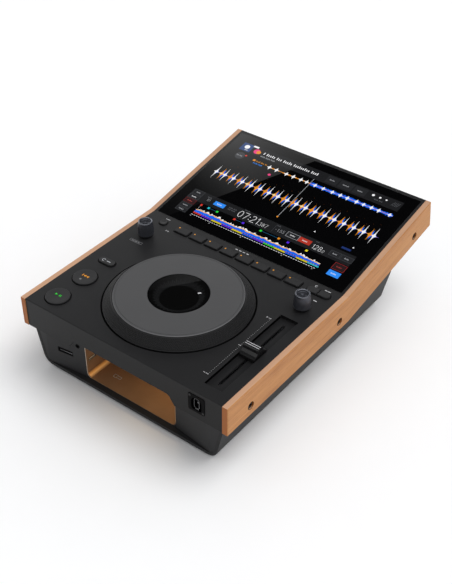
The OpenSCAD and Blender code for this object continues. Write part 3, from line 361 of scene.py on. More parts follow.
# the colour of the painted shade
SHADE_BLACK = srgb(2, 2, 2)

for part in frame["record"]["subparts"]:
    mesh = nodes[part["node"]].data
    mesh.materials.clear()
    mesh.materials.append(MATERIALS[part["material_slot"]])


# ---- Building pieces
def add_mesh(name, points, faces, materials, body, picks=None, smooth=False):
    """A piece that rides on a body. picks gives each face's place in materials."""
    mesh = bpy.data.meshes.new(name)
    mesh.from_pydata([tuple(p) for p in points], [], faces)
    for material in materials:
        mesh.materials.append(material)
    if picks:
        mesh.polygons.foreach_set("material_index", picks)
    mesh.polygons.foreach_set("use_smooth", [smooth] * len(faces))
    mesh.update()
    made = bpy.data.objects.new(name, mesh)
    bpy.context.scene.collection.objects.link(made)
    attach(made, body)
    return made


def lathe(profile, steps, relief=None):
    """Points and faces of a closed profile of (radius, height) turned round the jog's or a knob's
    axis. relief(k, angle) is the depth taken off the radius of profile point k."""
    points, faces = [], []
    count = len(profile)
    for s in range(steps):
        angle = 2 * math.pi * s / steps
        for k, (r, z) in enumerate(profile):
            r -= relief(k, angle) if relief else 0.0
            points.append((r * math.cos(angle), r * math.sin(angle), z))
    for s in range(steps):
        a, b = s * count, (s + 1) % steps * count
        for k in range(count):
            n = (k + 1) % count
            faces.append((a + k, a + n, b + n, b + k))
    return points, faces


def arc(r, z, radius, start, end, count=6):
    """Profile points round (r, z), angles in degrees from the outward direction."""
    turns = [math.radians(start + (end - start) * k / count) for k in range(count + 1)]
    return [(r + radius * math.cos(t), z + radius * math.sin(t)) for t in turns]


def turned(name, x, y, profile, steps, body, slot, replaced, relief=None, smooth=True,
           second=None, where=None):
    """A turned piece that stands for a CAD node. second is a second material, for the faces that
    start at the profile points that where() picks."""
    points, faces = lathe(profile, steps, relief)
    picks = None
    materials = [MATERIALS[slot]]
    if second:
        materials.append(second)
        picks = [int(where(profile[k % len(profile)])) for k in range(len(faces))]
    made = add_mesh(name, [deck(x + p[0], y + p[1], p[2]) for p in points], faces, materials,
                    body, picks, smooth)
    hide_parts(replaced)
    return made


class Art:
    """Flat shapes on one surface, each with its own colour, made into one mesh. place() turns a
    shape's x, y and height into a point, and layers lie STEP mm apart."""

    STEP = 0.02

    def __init__(self, place, lift=0.05):
        self.place, self.lift = place, lift
        self.points, self.faces, self.tints = [], [], []

    def poly(self, outline, colour, layer=0):
        first = len(self.points)
        up = self.lift + layer * self.STEP
        self.points += [self.place(x, y, up) for x, y in outline]
        self.faces.append(tuple(range(first, first + len(outline))))
        self.tints.append((*colour, 1.0))

    def rect(self, x0, y0, x1, y1, colour, layer=0):
        self.poly([(x0, y0), (x1, y0), (x1, y1), (x0, y1)], colour, layer)

    def disc(self, x, y, r, colour, layer=0, sides=20):
        turns = [2 * math.pi * k / sides for k in range(sides)]
        self.poly([(x + r * math.cos(t), y + r * math.sin(t)) for t in turns], colour, layer)

    def stroke(self, line, width, colour, layer=0):
        """A line through the given points, with square ends."""
        for (x0, y0), (x1, y1) in zip(line, line[1:]):
            length = math.hypot(x1 - x0, y1 - y0)
            u, v = (x1 - x0) / length * width / 2, (y1 - y0) / length * width / 2
            self.poly([(x0 - u + v, y0 - v - u), (x1 + u + v, y1 + v - u),
                       (x1 + u - v, y1 + v + u), (x0 - u - v, y0 - v + u)], colour, layer)

    def ring(self, x, y, r, width, colour, start=0, end=360, sides=24):
        """A line of the given width round a circle, or along an arc of it."""
        turns = [math.radians(start + (end - start) * k / sides) for k in range(sides + 1)]
        for a, b in zip(turns, turns[1:]):
            self.poly([(x + q * math.cos(t), y + q * math.sin(t)) for q, t in
                       ((r, a), (r + width, a), (r + width, b), (r, b))], colour)

    def frame(self, x0, y0, x1, y1, width, colour, layer=0):
        self.stroke([(x0, y0), (x1, y0), (x1, y1), (x0, y1), (x0, y0)], width, colour, layer)

    def border(self, x, y, wide, tall, r, width, colour):
        """A line of the given width round a rectangle with rounded corners."""
        rings = []
        for out in (0.0, width):
            ring = []
            for turn, sx, sy in ((0, 1, 1), (90, -1, 1), (180, -1, -1), (270, 1, -1)):
                for k in range(5):
                    t = math.radians(turn + 22.5 * k)
                    ring.append((x + sx * (wide / 2 - r) + (r + out) * math.cos(t),
                                 y + sy * (tall / 2 - r) + (r + out) * math.sin(t)))
            rings.append(ring)
        inner, outer = rings
        for k in range(len(inner)):
            n = (k + 1) % len(inner)
            self.poly([inner[k], outer[k], outer[n], inner[n]], colour)

    def digits(self, text, x, y, h, colour, layer=0):
        """Plain numbers in thin strokes; returns where the next one would start."""
        w, pen = h * 0.54, h * 0.055
        for sign in text:
            if sign in ":.":
                for up in ([0.2, 0.6] if sign == ":" else [0.05]):
                    self.disc(x + w * 0.1, y + h * up, h * 0.06, colour, layer, 8)
                x += w * 0.55
                continue
            for line in STROKES[sign]:
                self.stroke([(x + a * w, y + b * h) for a, b in line], pen, colour, layer)
            x += w * (0.85 if sign == "1" else 1.4)
        return x

    def bars(self, lengths, x, y, h, colour):
        """A row of plain bars in the place of a line of words."""
        for length in lengths:
            self.rect(x, y, x + length, y + h, colour)
            x += length + h * 0.6

    def dashes(self, counts, x, y, h, colour, layer=0):
        """Groups of short upright dashes in the place of a line of words."""
        for count in counts:
            for k in range(count):
                self.rect(x, y, x + h * 0.28, y + h * (1.0 if k % 3 == 0 else 0.74), colour,
                          layer)
                x += h * 0.62
            x += h * 0.5

    def build(self, name, material, body):
        """The mesh, with each shape's colour as the attribute that the tinted materials read."""
        made = add_mesh(name, self.points, self.faces, [material], body)
        layer = made.data.attributes.new("tint", "FLOAT_COLOR", "CORNER")
        for face, tint in zip(made.data.polygons, self.tints):
            for corner in face.loop_indices:
                layer.data[corner].color = tint
        return made


def loop(x, y, across, up, start=0, end=360):
    """Points of an arc or an oval in a number's cell, one wide and one high."""
    sides = 14
    turns = [math.radians(start + (end - start) * k / sides) for k in range(sides + 1)]
    return [(x + across * math.cos(t), y + up * math.sin(t)) for t in turns]


STROKES = {
    "0": [loop(0.5, 0.5, 0.5, 0.5)],
    "1": [[(0.1, 0.8), (0.4, 1.0), (0.4, 0.0)]],
    "2": [loop(0.5, 0.72, 0.45, 0.28, 160, -40) + [(0.0, 0.0), (1.0, 0.0)]],
    "3": [loop(0.45, 0.75, 0.4, 0.25, 150, -90), loop(0.45, 0.26, 0.45, 0.26, 90, -150)],
    "5": [[(0.9, 1.0), (0.15, 1.0), (0.1, 0.55)], loop(0.45, 0.32, 0.5, 0.32, 130, -150)],
    "7": [[(0.0, 1.0), (1.0, 1.0), (0.35, 0.0)]],
    "8": [loop(0.5, 0.75, 0.38, 0.25), loop(0.5, 0.26, 0.48, 0.26)],
    "-": [[(0.1, 0.45), (0.8, 0.45)]],
}

WHITE, PALE, GREY = srgb(246, 246, 248), srgb(176, 178, 182), srgb(92, 94, 98)
TILE, EDGE = srgb(28, 29, 31), srgb(62, 64, 67)
ORANGE, AMBER, BLUE = srgb(228, 144, 30), srgb(218, 142, 16), srgb(8, 100, 236)
SKY, RED, GREEN = srgb(44, 140, 246), srgb(214, 52, 36), srgb(40, 216, 62)
YELLOW, VIOLET, PINK, CYAN = (srgb(232, 222, 40), srgb(84, 34, 226), srgb(236, 60, 128),
                              srgb(40, 200, 216))
CREAM, BROWN, GOLD = srgb(244, 220, 160), srgb(150, 84, 20), srgb(240, 176, 70)


# ---- The picture on the screen: x from its middle, y up the slope from the fold
PICTURE_X = (-136, 135)
LEFT_KEYS, RIGHT_KEYS = (-135, -117), (117, 135)
BAR = srgb(14, 15, 16)


def tile(art, x0, y0, x1, y1, fill=TILE, outline=EDGE, mark=PALE):
    """A touch key with dashes in the place of its word."""
    art.rect(x0, y0, x1, y1, fill, 1)
    if outline:
        art.frame(x0, y0, x1, y1, 0.45, outline, 2)
    count, tall = int((x1 - x0) * 0.34), 2.2
    art.dashes([count], (x0 + x1) / 2 - count * 0.68, (y0 + y1 - tall) / 2, tall, mark, 3)


def header(art):
    """The bar at the top: a cover picture, the song's lines, three keys and small signs."""
    art.rect(PICTURE_X[0], 168, PICTURE_X[1], 188, BAR)
    art.rect(-135, 170, -117, 187, srgb(36, 66, 118), 1)
    art.disc(-126, 179.5, 4.2, WHITE, 2)
    art.rect(-126.5, 172, -121, 174, PALE, 2)
    art.rect(-118, 184, -109, 187.5, WHITE, 2)
    art.disc(-107, 177.5, 5.2, PINK, 2)
    art.disc(-103.5, 177, 3.6, ORANGE, 3)
    art.dashes([1, 5, 3, 5, 9, 4], -95, 176.5, 5.0, WHITE, 2)
    art.dashes([5, 5, 4], -96, 170.6, 2.6, PALE, 2)
    for x0, x1 in ((15, 34), (36, 58), (60, 80)):
        tile(art, x0, 171, x1, 186, TILE, None)
    for x, r in ((90, 2.1), (101, 1.7), (111, 1.4)):
        art.disc(x, 181, r, WHITE, 1)
    art.dashes([5, 4], 95, 173.6, 2.2, GREY, 1)
    for k in range(4):
        art.stroke([(121 + k * 2.6, 175), (124 + k * 2.6, 183)], 0.5, GREY, 1)


def side_marks(art):
    """What stands round the two waves: a dial, marks and short lines."""
    art.disc(-124, 158, 7.6, srgb(52, 53, 56), 1)
    art.dashes([3, 3], -129.5, 157.0, 2.4, PALE, 2)
    art.disc(-115.5, 162, 1.6, RED, 2)
    art.rect(-101, 158, -97, 161.5, ORANGE, 1)
    art.dashes([4, 3, 2], -95, 158, 3.0, AMBER, 1)
    art.dashes([5, 4], -97, 153.2, 2.6, SKY, 1)
    art.disc(-61, 144, 2.3, PINK, 1)
    for x, y in ((61, 79), (122, 79)):
        art.poly([(x, y + 1.6), (x - 1.4, y - 1.1), (x + 1.4, y - 1.1)], WHITE, 1)
    art.rect(108, 70.5, 122, 74, srgb(16, 44, 104), 1)


def star(art, x, reach, half, colour, layer, mid, body=0.34):
    """A beat: long thin points above and below the middle line, on a short wide body."""
    side = [(half, 0.0), (half * 0.4, body * 0.32), (half * 0.16, body), (0.0, 1.0)]
    outline = [(x + a, mid + b * reach) for a, b in side]
    outline += [(x - a, mid + b * reach) for a, b in reversed(side[:-1])]
    outline += [(x - a, mid - b * reach) for a, b in side[1:]]
    outline += [(x + a, mid - b * reach) for a, b in reversed(side[1:-1])]
    art.poly(outline, colour, layer)


def overview_strip(art, draw):
    """The thin strip above the main wave: fine to the left of the playhead, full and blue to
    its right."""
    mid, x, end, due = 157.5, -70.0, 133, 0.0
    while x < end:
        wide = draw.uniform(1.6, 3.0)
        if x > 0:
            tall = draw.uniform(1.9, 3.6)
            art.rect(x, mid - tall, x + wide, mid + tall, BLUE, 1)
        rise = draw.uniform(0.4, 1.2) * (0.4 if x > 0 else 1.0)
        art.rect(x, mid - rise, x + wide, mid + rise, ORANGE, 2)
        due -= wide
        if due < 0:
            star(art, x, draw.uniform(4.0, 5.2), 4.6, WHITE, 3, mid, 0.6)
            due = draw.uniform(8.0, 16.0)
        x += wide


def main_wave(art, draw):
    """White and orange beats by turns, with blue close behind the orange ones."""
    mid, first, pitch, beats = 111.5, -132.0, 15.6, 18
    for k in range(beats):
        x = first + k * pitch
        turn = draw.uniform(0.88, 1.08)
        star(art, x + 1.6, 3.6, 6.6, BLUE, 1, mid)
        star(art, x + 0.6, 3.4, 6.0, ORANGE, 3, mid)
        star(art, x, 3.4, 4.0, CREAM, 6, mid, 0.6)
        star(art, x, 16.2 * turn, 3.6, WHITE, 7, mid)
        if k < beats - 1:
            star(art, x + 11.6, 9.8 * turn, 5.4, BLUE, 2, mid, 0.5)
            star(art, x + 9.6, 12.6 * turn, 4.8, ORANGE, 4, mid, 0.4)
            if k % 3 == 0:
                star(art, x + 8.8, 2.6, 5.0, CREAM, 5, mid, 0.6)
    art.rect(0.0, 77, 0.6, 168, PALE, 8)
    art.rect(-0.9, 76, 1.6, 78.4, ORANGE, 9)
    for k in range(30):
        x, y = -128 + k * 8.9, 126.4 + (k % 3) * 4
        art.rect(x, y, x + 0.4, y + 0.4, BROWN, 1)


def info_bar(art):
    """The bar under the main wave: the time, the tempo and the keys beside them."""
    art.rect(PICTURE_X[0], 46, PICTURE_X[1], 66.5, BAR)
    tile(art, -134, 57, -117, 66)
    art.dashes([5], -108, 60, 2.2, GREY, 1)
    art.digits("01", -105.5, 53.5, 4.6, PALE, 1)
    tile(art, -93, 52, -75, 60, SKY, None, WHITE)
    art.dashes([5, 4], -69, 57.8, 2.2, GREY, 1)
    art.dashes([4, 5], -69, 54.3, 2.2, GREY, 1)
    art.dashes([4, 3], -46, 65.0, 1.8, GREY, 1)
    end = art.digits("07:21", -50, 50, 12, WHITE, 1)
    art.digits(".387", end - 1.0, 50, 6.4, WHITE, 1)
    art.rect(9.5, 48, 9.9, 65, EDGE, 1)
    art.dashes([5], 11, 62, 2.0, GREY, 1)
    art.digits("-1.55", 12, 53, 5.4, PALE, 1)
    tile(art, 31, 52, 50, 61, TILE, PALE, WHITE)
    tile(art, 50.6, 52, 69.5, 61, srgb(176, 46, 26), None, WHITE)
    art.dashes([4], 74, 63, 1.8, GREY, 1)
    end = art.digits("128", 74, 50, 8.2, WHITE, 1)
    art.digits(".0", end - 1.0, 50, 4.6, WHITE, 1)
    tile(art, 100, 51.5, 116, 61)
    tile(art, 117.5, 51.5, 135, 61)


def lower_tiles(art):
    """The touch keys at both sides of the song's map."""
    x0, x1 = LEFT_KEYS
    tile(art, x0, 47.5, x1, 55.5, TILE, EDGE, WHITE)
    tile(art, x0, 37.5, x1, 46, srgb(40, 14, 14), srgb(110, 28, 28), srgb(190, 74, 66))
    tile(art, x0, 27, x1, 36)
    tile(art, x0, 18.5, x1, 26)
    x0, x1 = RIGHT_KEYS
    tile(art, x0, 32.5, x1, 44.5, srgb(34, 11, 12), srgb(164, 36, 34), srgb(176, 62, 56))
    tile(art, x0, 20, x1, 30, SKY, None, WHITE)


CUES = [(-106, RED), (-93, CYAN), (-78, GREEN), (-48, RED), (-33, VIOLET), (-3, GREEN),
        (27, ORANGE), (42, VIOLET), (72, YELLOW)]


def song_map(art, draw):
    """The whole song as a skyline, with coloured marks above and coloured parts below."""
    start, base, pitch, count = -107, 27, 2, 105
    for x, colour in CUES:
        art.rect(x - 1.7, 41, x + 1.7, 44.4, colour, 2)
    art.rect(-106.2, 34, -105.8, 41, PALE, 2)
    for x0, x1 in ((-91, -80), (-46, -35), (-1, 25)):
        art.rect(x0, 42.4, x1, 42.9, srgb(24, 92, 128), 1)
    top, tall = [], 5.6
    for k in range(count):
        tall = max(tall + draw.uniform(-1.0, 1.0) + (5.4 - tall) * 0.3, 2.0)
        top.append((start + k * pitch, base + tall))
    low = [(x, base + (y - base) * draw.uniform(0.66, 0.84)) for x, y in top]
    peaks = [(x, y + draw.choice([0.2, 0.3, 0.6, 2.4])) for x, y in top]
    for line, colour, layer in ((peaks, WHITE, 1), (top, GOLD, 2), (low, BLUE, 3)):
        art.poly([(start, base)] + line + [(top[-1][0], base)], colour, layer)
    x = start
    parts = [RED, VIOLET, YELLOW, VIOLET, YELLOW, BLUE, VIOLET, GREEN, YELLOW, BLUE, YELLOW, CYAN]
    for k, colour in enumerate(parts):
        wide = 14 if k == 0 else 17.8
        art.rect(x, 24.0, x + wide - 0.3, 26.2, shade(colour, 0.8), 1)
        x += wide
    for x in range(start, top[-1][0], 4):
        art.rect(x, 26.2, x + 2, base, srgb(200, 70, 50), 4)
        art.rect(x, 20.6, x + 2.6, 21.3, WHITE, 1)
    for x in (start, -74, -20, 48, 96):
        art.dashes([2], x - 0.3, 17.4, 1.8, PALE, 1)


def screen_picture():
    art = Art(screen)
    draw = random.Random(11)
    header(art)
    side_marks(art)
    overview_strip(art, draw)
    main_wave(art, draw)
    info_bar(art)
    lower_tiles(art)
    song_map(art, draw)
    art.build("screen_picture", LIGHT, "root")


# ---- Jog wheel
def jog_ring():
    """The grip cone carries staggered dimples in rows."""
    foot, crown = (JOG_R, 0.8), (84.6, 12.2)
    rows, per_row, fine, deep = 8, 250, 5, 0.9
    steps = rows * fine
    slope = [(foot[0] + (crown[0] - foot[0]) * k / steps,
              foot[1] + (crown[1] - foot[1]) * k / steps) for k in range(steps + 1)]
    profile = slope + [(84.0, 12.8), (83.1, 12.8), (83.1, 10.2), (75.0, 10.2), (75.0, 8.2),
                       (83.4, 8.2), (93.2, -2.0), (JOG_R, -2.0)]

    def relief(k, angle):
        if k < 3 or k > steps - 3:
            return 0.0
        row = k / fine
        across = angle * per_row / (2 * math.pi) + (0.5 if int(row) % 2 else 0.0)
        near = math.hypot(across % 1 - 0.5, row % 1 - 0.5)
        return deep * max(0.0, 1 - (near / 0.46) ** 2)

    turned("jog_grip_ring", 0, JOG_Y, profile, per_row * fine, "jog_wheel", "jog_side",
           "jog_ring", relief, smooth=False)


def jog_plate():
    """The flat disc has a turned groove just inside its bevelled edge, whose lighter material is a
    painted highlight.
    """
    inner, low, groove = 39.5, 10.2, 12.8
    bevel = (JOG_TOP_R, 12.6)
    profile = [(inner, low), (JOG_TOP_R, low), bevel, (82.4, JOG_H), (80.6, JOG_H),
               (80.3, groove), (79.7, groove), (79.4, JOG_H), (39.8, JOG_H), (inner, 12.9)]
    turned("jog_disc", 0, JOG_Y, profile, 288, "jog_wheel", "jog_plate", "jog_top_plate",
           smooth=False, second=BEVEL_HIGHLIGHT, where=lambda p: p == bevel)


def on_cone(r, angle, up):
    """A point on the display's dished cone, r from its axis."""
    z = JOG_H - DISH_DEPTH + (r - DISH_R) * DISH_SLOPE
    return deck(r * math.cos(angle), JOG_Y + r * math.sin(angle), z + up)


def jog_ticks():
    """Fine radial ticks on the display's dished cone."""
    art = Art(lambda turn, r, up: on_cone(r, math.radians(turn), up), 0.06)
    count, near, half = 72, 25.0, 0.55
    for k in range(count):
        turn = k * 360 / count
        far = 33.0 if k % 2 else 31.0
        art.poly([(turn - half, near), (turn - half, far), (turn + half, far),
                  (turn + half, near)], srgb(128, 130, 134))
    art.build("jog_ticks", LAMP, "root")


def jog_marker():
    """A short lit bar that stands level on the cone and shows the wheel's place."""
    turn, lie, reach, half = math.radians(52.7), math.radians(37.5), 28, 1.2
    foot, top = 4.9, 7.25
    mid = Vector((reach * math.cos(turn), JOG_Y + reach * math.sin(turn)))
    long, wide = Vector((math.cos(lie), math.sin(lie))), Vector((-math.sin(lie), math.cos(lie)))

    def corner(a, b):
        return mid + long * a + wide * (b - 0.05 * a * a)

    ends = [-3.6, -1.8, 0.0, 1.8, 3.6]
    outline = [corner(a, -half) for a in ends] + [corner(a, half) for a in reversed(ends)]
    count = len(outline)
    points = [deck(q.x, q.y, z) for z in (foot, top) for q in outline]
    faces = [tuple(reversed(range(count))), tuple(range(count, 2 * count))]
    faces += [(k, (k + 1) % count, (k + 1) % count + count, k + count) for k in range(count)]
    add_mesh("jog_marker_rib", points, faces, [MATERIALS["display_housing"]], "root")
    art = Art(deck, top + 0.05)
    art.poly([(q.x, q.y) for q in outline], WHITE)
    art.build("jog_marker", BRIGHT, "root")


# ---- Knobs, buttons and fader
def knob(name, x, body, replaced):
    """A turned knob with a straight-knurled side, a rounded rim in a lighter metal that is a
    painted highlight, and a dished top.
    """
    ridges, deep = 60, 0.3
    side = [(11.2 - 0.3 * (z - 3.8) / 9.5, z) for z in (3.8, 5.0, 6.0, 9.0, 12.0)]
    side += [(10.82, 14.0), (10.6, 16.5), (10.3, 18.6), (10.0, 20.4), (9.72, 21.8)]
    profile = ([(3.05, 3.0), (10.4, 3.0)] + side + arc(8.7, 22.6, 1.0, 0, 180, 10)
               + [(7.5, 20.4), (6.8, 19.9), (0.02, 19.9), (0.02, 18.2), (3.05, 18.2)])

    def relief(k, angle):
        z = profile[k][1]
        if not (5.5 < z < 21.0 and profile[k][0] > 9.5):
            return 0.0
        return deep * (0.5 - 0.5 * math.cos(ridges * angle))

    # the rim faces take the lighter metal as a painted highlight
    turned(name, x, KNOB_Y, profile, 480, body, "knob_metal", replaced, relief,
           second=RIM_HIGHLIGHT, where=lambda p: p[1] > 23.0)


def symbol_play(art, x, y, colour):
    """The standard play and pause symbols side by side."""
    art.poly([(x - 5.0, y - 1.9), (x - 5.0, y + 1.9), (x - 1.4, y)], colour)
    for dx in (1.4, 3.4):
        art.rect(x + dx, y - 1.8, x + dx + 1.0, y + 1.8, colour)


def symbol_return(art, x, y, colour):
    """The standard symbol for going back to a stored point."""
    art.rect(x - 5.2, y - 2.1, x - 4.0, y + 2.1, colour)
    for dx in (-3.6, 1.0):
        art.poly([(x + dx, y), (x + dx + 4.2, y - 2.1), (x + dx + 4.2, y + 2.1)], colour)


def on_button(x, y, up):
    return deck(x, y, BUTTON_H + up)


def button_lights():
    """The lit symbols of the keys and pads, and the marks printed on two keys."""
    art = Art(on_button, 0.06)
    symbol_play(art, LEFT_X, PLAY_Y + 1.3, srgb(22, 204, 40))
    art.build("play_light", LAMP, "play")
    art = Art(on_button, 0.06)
    symbol_return(art, LEFT_X, CUE_Y + 1.5, AMBER)
    art.build("cue_light", LAMP, "cue")
    art = Art(on_button, 0.06)
    art.disc(LEFT_X - 1.2, CUE_Y - 7.0, 1.5, srgb(120, 120, 122))
    art.build("cue_spot", PRINT_AND_HIGHLIGHT, "cue")
    for k in range(PAD_COUNT):
        art = Art(on_button, 0.06)
        art.disc(pad_x(k) - 7.6, PAD_Y + 3.0, 1.15, AMBER)
        art.build(f"pad_light_{k + 1}", LAMP, f"pad_body_{k + 1}")
    art = Art(on_button, 0.06)
    art.ring(LEFT_X - 5.2, PILL_Y, 1.9, 0.7, PALE, start=30, end=300)
    art.poly([(LEFT_X - 4.6, PILL_Y + 2.6), (LEFT_X - 2.6, PILL_Y + 1.6),
              (LEFT_X - 4.4, PILL_Y - 0.1)], PALE)
    art.bars([6.5], LEFT_X - 0.5, PILL_Y - 0.6, 1.3, PALE)
    art.build("pill_mark", PRINT_AND_HIGHLIGHT, "pill")


def fader_lines():
    """The two pale lines across the fader's cap: its printed line and a painted highlight along
    the cap's top.
    """
    art = Art(lambda x, y, up: deck(x, y, CAP_TOP + up), 0.05)
    half, thick = 10.2, 0.6
    for y in (FADER_Y - 1.9, FADER_Y + 1.3):
        art.rect(RIGHT_X - half, y, RIGHT_X + half, y + thick, srgb(236, 236, 238))
    art.build("fader_lines", PRINT_AND_HIGHLIGHT, "tempo_fader")


# ---- Marks, painted shade and painted highlights on the housing
def painted_gap_shade():
    """Painted shade: a dark ring in the gap round every button and round the jog wheel."""
    art = Art(deck, 0.02)
    gap, line = BUTTON_GAP, 0.8
    for y in (PLAY_Y, CUE_Y):
        art.ring(LEFT_X, y, MAIN_R + gap, line, SHADE_BLACK, sides=48)
    art.ring(LEFT_X, ROUND_Y, ROUND_R + gap, 0.7, SHADE_BLACK)
    art.ring(0, JOG_Y, JOG_R + JOG_GAP, 1.3, SHADE_BLACK, sides=160)
    art.border(LEFT_X, PILL_Y, PILL_W + 2 * gap, PILL_LEN + 2 * gap, 6.2, line, SHADE_BLACK)
    art.border(RIGHT_X, PAIR_Y, PAIR_W + 2 * gap, PAIR_LEN + 2 * gap, 5.9, line, SHADE_BLACK)
    for k in range(PAD_COUNT):
        art.border(pad_x(k), PAD_Y, PAD_PITCH - PAD_GAP + 2 * gap, PAD_LEN + 2 * gap, 2.0, line,
                   SHADE_BLACK)
    art.build("painted_gap_shade", SHADE_PAINT, "root")


def fader_shadows():
    """Painted shadow on the trough's inner side and along both lips of its slot."""
    wall_run, slot_run = 75.0, 63.5
    art = Art(lambda y, z, out: mm(RIGHT_X - TROUGH_HALF_W + out, y, z), 0.03)
    art.rect(FADER_Y - wall_run, DECK - TROUGH_D + 0.1, FADER_Y + wall_run, DECK - 0.3, SHADE_BLACK)
    art.build("trough_painted_shade", SHADE_PAINT, "root")
    art = Art(lambda x, y, up: deck(x, y, up - TROUGH_D), 0.03)
    for x0, x1 in ((-1.9, -1.15), (1.15, 1.9)):
        art.rect(RIGHT_X + x0, FADER_Y - slot_run, RIGHT_X + x1, FADER_Y + slot_run, SHADE_BLACK)
    art.build("slot_painted_shade", SHADE_PAINT, "root")


def screw_rings():
    """Painted shade: a dark ring round the edge of each counterbore in the wooden cheeks."""
    run = BACK_LEN - SCREW_END
    last = (FOLD + run * math.cos(TILT) + SCREW_DROP * math.sin(TILT),
            DECK + run * math.sin(TILT) - SCREW_DROP * math.cos(TILT))
    places = [(SCREW_END, DECK - SCREW_DROP), (FOLD - SCREW_FOLD, DECK - SCREW_DROP), last]
    for name, side in (("left", -1), ("right", 1)):
        art = Art(lambda y, z, out: mm(side * (HALF_WIDTH + out), y, z), 0.03)
        for y, z in places:
            # painted shade round the counterbore
            art.ring(y, z, 4.8, 0.8, srgb(16, 11, 8))
        art.build("screw_rings_" + name, SHADE_PAINT, "root")


def fader_scale(art, ink):
    """Dots along the fader, with three large ones, and a minus and a plus at the ends."""
    pitch, reach, dots_x = 3.115, 20, 111.3
    for k in range(-reach, reach + 1):
        y = FADER_Y + k * pitch
        main = k % reach == 0
        art.disc(dots_x, y, 0.7 if main else 0.34, ink, sides=10)
        if main:
            art.rect(dots_x - 3.1, y - 0.35, dots_x - 1.1, y + 0.35, ink)
    art.rect(104.6, 32.2, 107.0, 32.9, ink)
    art.rect(104.6, 156.9, 107.0, 157.6, ink)
    art.rect(105.45, 156.1, 106.15, 158.4, ink)


def deck_marks():
    """The fader's scale, and plain bars and dashes in the place of words."""
    art = Art(deck, 0.04)
    ink, dull = srgb(206, 206, 208), srgb(128, 128, 130)
    fader_scale(art, ink)
    art.frame(-138, 176.4, -118, 180.4, 0.5, dull)
    art.bars([4, 5, 3], -135.5, 177.7, 1.4, dull)
    art.dashes([6], -130, 244.0, 2.0, ink)
    art.dashes([5], -113, 222.0, 2.0, ink)
    for dx in (-9, -3, 3, 9):
        art.rect(dx - 1.9, 246.2, dx + 1.9, 247.4, ink)
    art.ring(120, 245.2, 1.4, 0.6, ink, start=40, end=320, sides=16)
    art.bars([4, 4], 133, 244.4, 1.2, ink)
    art.bars([5], 132.5, 218.6, 1.3, ink)
    art.build("deck_marks", PRINT_AND_HIGHLIGHT, "root")


def cave_marks():
    """A plain outline of a memory stick on the cave's floor."""
    art = Art(lambda x, y, up: mm(x, y, CAVE_FLOOR + up), 0.05)
    ink = srgb(222, 220, 214)
    art.frame(-43, 35.4, -36, 39.2, 0.6, ink)
    art.frame(-47.5, 34.8, -43, 39.8, 0.6, ink)
    art.build("cave_mark", PRINT_AND_HIGHLIGHT, "root")


def cave_edge_highlight():
    """The front edge of the bent cave liner, with painted highlight: bright on its left wall and
    bend, dull along the floor.
    """
    art = Art(lambda x, z, out: mm(x, CAVE_Y - out, z), 0.03)
    bright, dull = srgb(206, 190, 172), srgb(112, 92, 76)
    low, left, thick = CAVE_FLOOR, CAVE_HALF, 0.95
    art.rect(-left - thick, low + CAVE_R, -left, CAVE_TOP, bright)
    art.rect(CAVE_R - left, low - thick, left - CAVE_R, low, dull)
    art.ring(CAVE_R - left, low + CAVE_R, CAVE_R, thick, bright, start=180, end=250, sides=12)
    art.ring(left - CAVE_R, low + CAVE_R, CAVE_R, thick, dull, start=270, end=360, sides=12)
    art.build("cave_edge_highlight", PRINT_AND_HIGHLIGHT, "root")


def socket_tongue_highlight():
    """A painted highlight on the edge of the contact plate in the cave's side socket."""
    art = Art(lambda y, z, out: mm(-CAVE_HALF - 1.6 + out, y, z), 0.03)
    art.rect(21.0, 32.2, 32.0, 33.8, srgb(240, 220, 178))
    art.build("socket_tongue_highlight", PRINT_AND_HIGHLIGHT, "root")


def connector_glints():
    """Painted highlights inside the front connector: on its insert's edge, its key and a contact.
    """
    def at(depth):
        return lambda x, z, out: mm(CONN_X + x, depth - out, CONN_Z + z)

    pale, dull = srgb(176, 176, 178), srgb(104, 104, 106)
    art = Art(at(1.2), 0.03)
    art.border(0, 0, 6.9, 14.1, 2.6, 0.5, dull)
    art.build("connector_rim_glint", PRINT_AND_HIGHLIGHT, "root")
    art = Art(at(1.8), 0.03)
    art.rect(-2.1, -9.4, 2.1, -8.7, pale)
    art.build("connector_key_glint", PRINT_AND_HIGHLIGHT, "root")
    art = Art(at(3.6), 0.03)
    art.rect(-0.9, -1.0, 0.9, 1.4, dull)
    art.build("connector_contact_glint", PRINT_AND_HIGHLIGHT, "root")


def card_slot_highlight():
    """Painted highlight inside the card slot: a grey strip with a brighter line on it."""
    art = Art(left_wing, -1.36)
    art.rect(CARD_OUT - 10.6, 34.0, CARD_OUT + 10.6, 35.2, srgb(66, 66, 68))
    art.rect(CARD_OUT - 9.4, 34.5, CARD_OUT + 2.0, 35.0, srgb(150, 150, 152), 1)
    art.build("card_slot_highlight", PRINT_AND_HIGHLIGHT, "root")


def jack_inserts():
    """The coloured rings in the rear panel's audio jacks."""
    tints = {"red": srgb(170, 24, 22), "white": srgb(224, 224, 220), "amber": srgb(230, 120, 24)}
    for x, tint in JACKS.items():
        art = Art(lambda a, z, out: mm(a, REAR_Y + 8.0 + out, z), 0.05)
        art.ring(x, REAR_MID, 1.65, 1.7, tints[tint], sides=28)
        art.build(f"jack_insert_{tint}", PRINT_AND_HIGHLIGHT, "root")


screen_picture()
jog_ring()
jog_plate()
jog_ticks()
jog_marker()
knob("level_knob_turned", LEFT_X, "level_dial", "level_knob")
knob("selector_knob_turned", RIGHT_X, "selector_dial", "selector_knob")
button_lights()
fader_lines()
painted_gap_shade()
fader_shadows()
screw_rings()
deck_marks()
cave_marks()
cave_edge_highlight()
connector_glints()
card_slot_highlight()
socket_tongue_highlight()
jack_inserts()


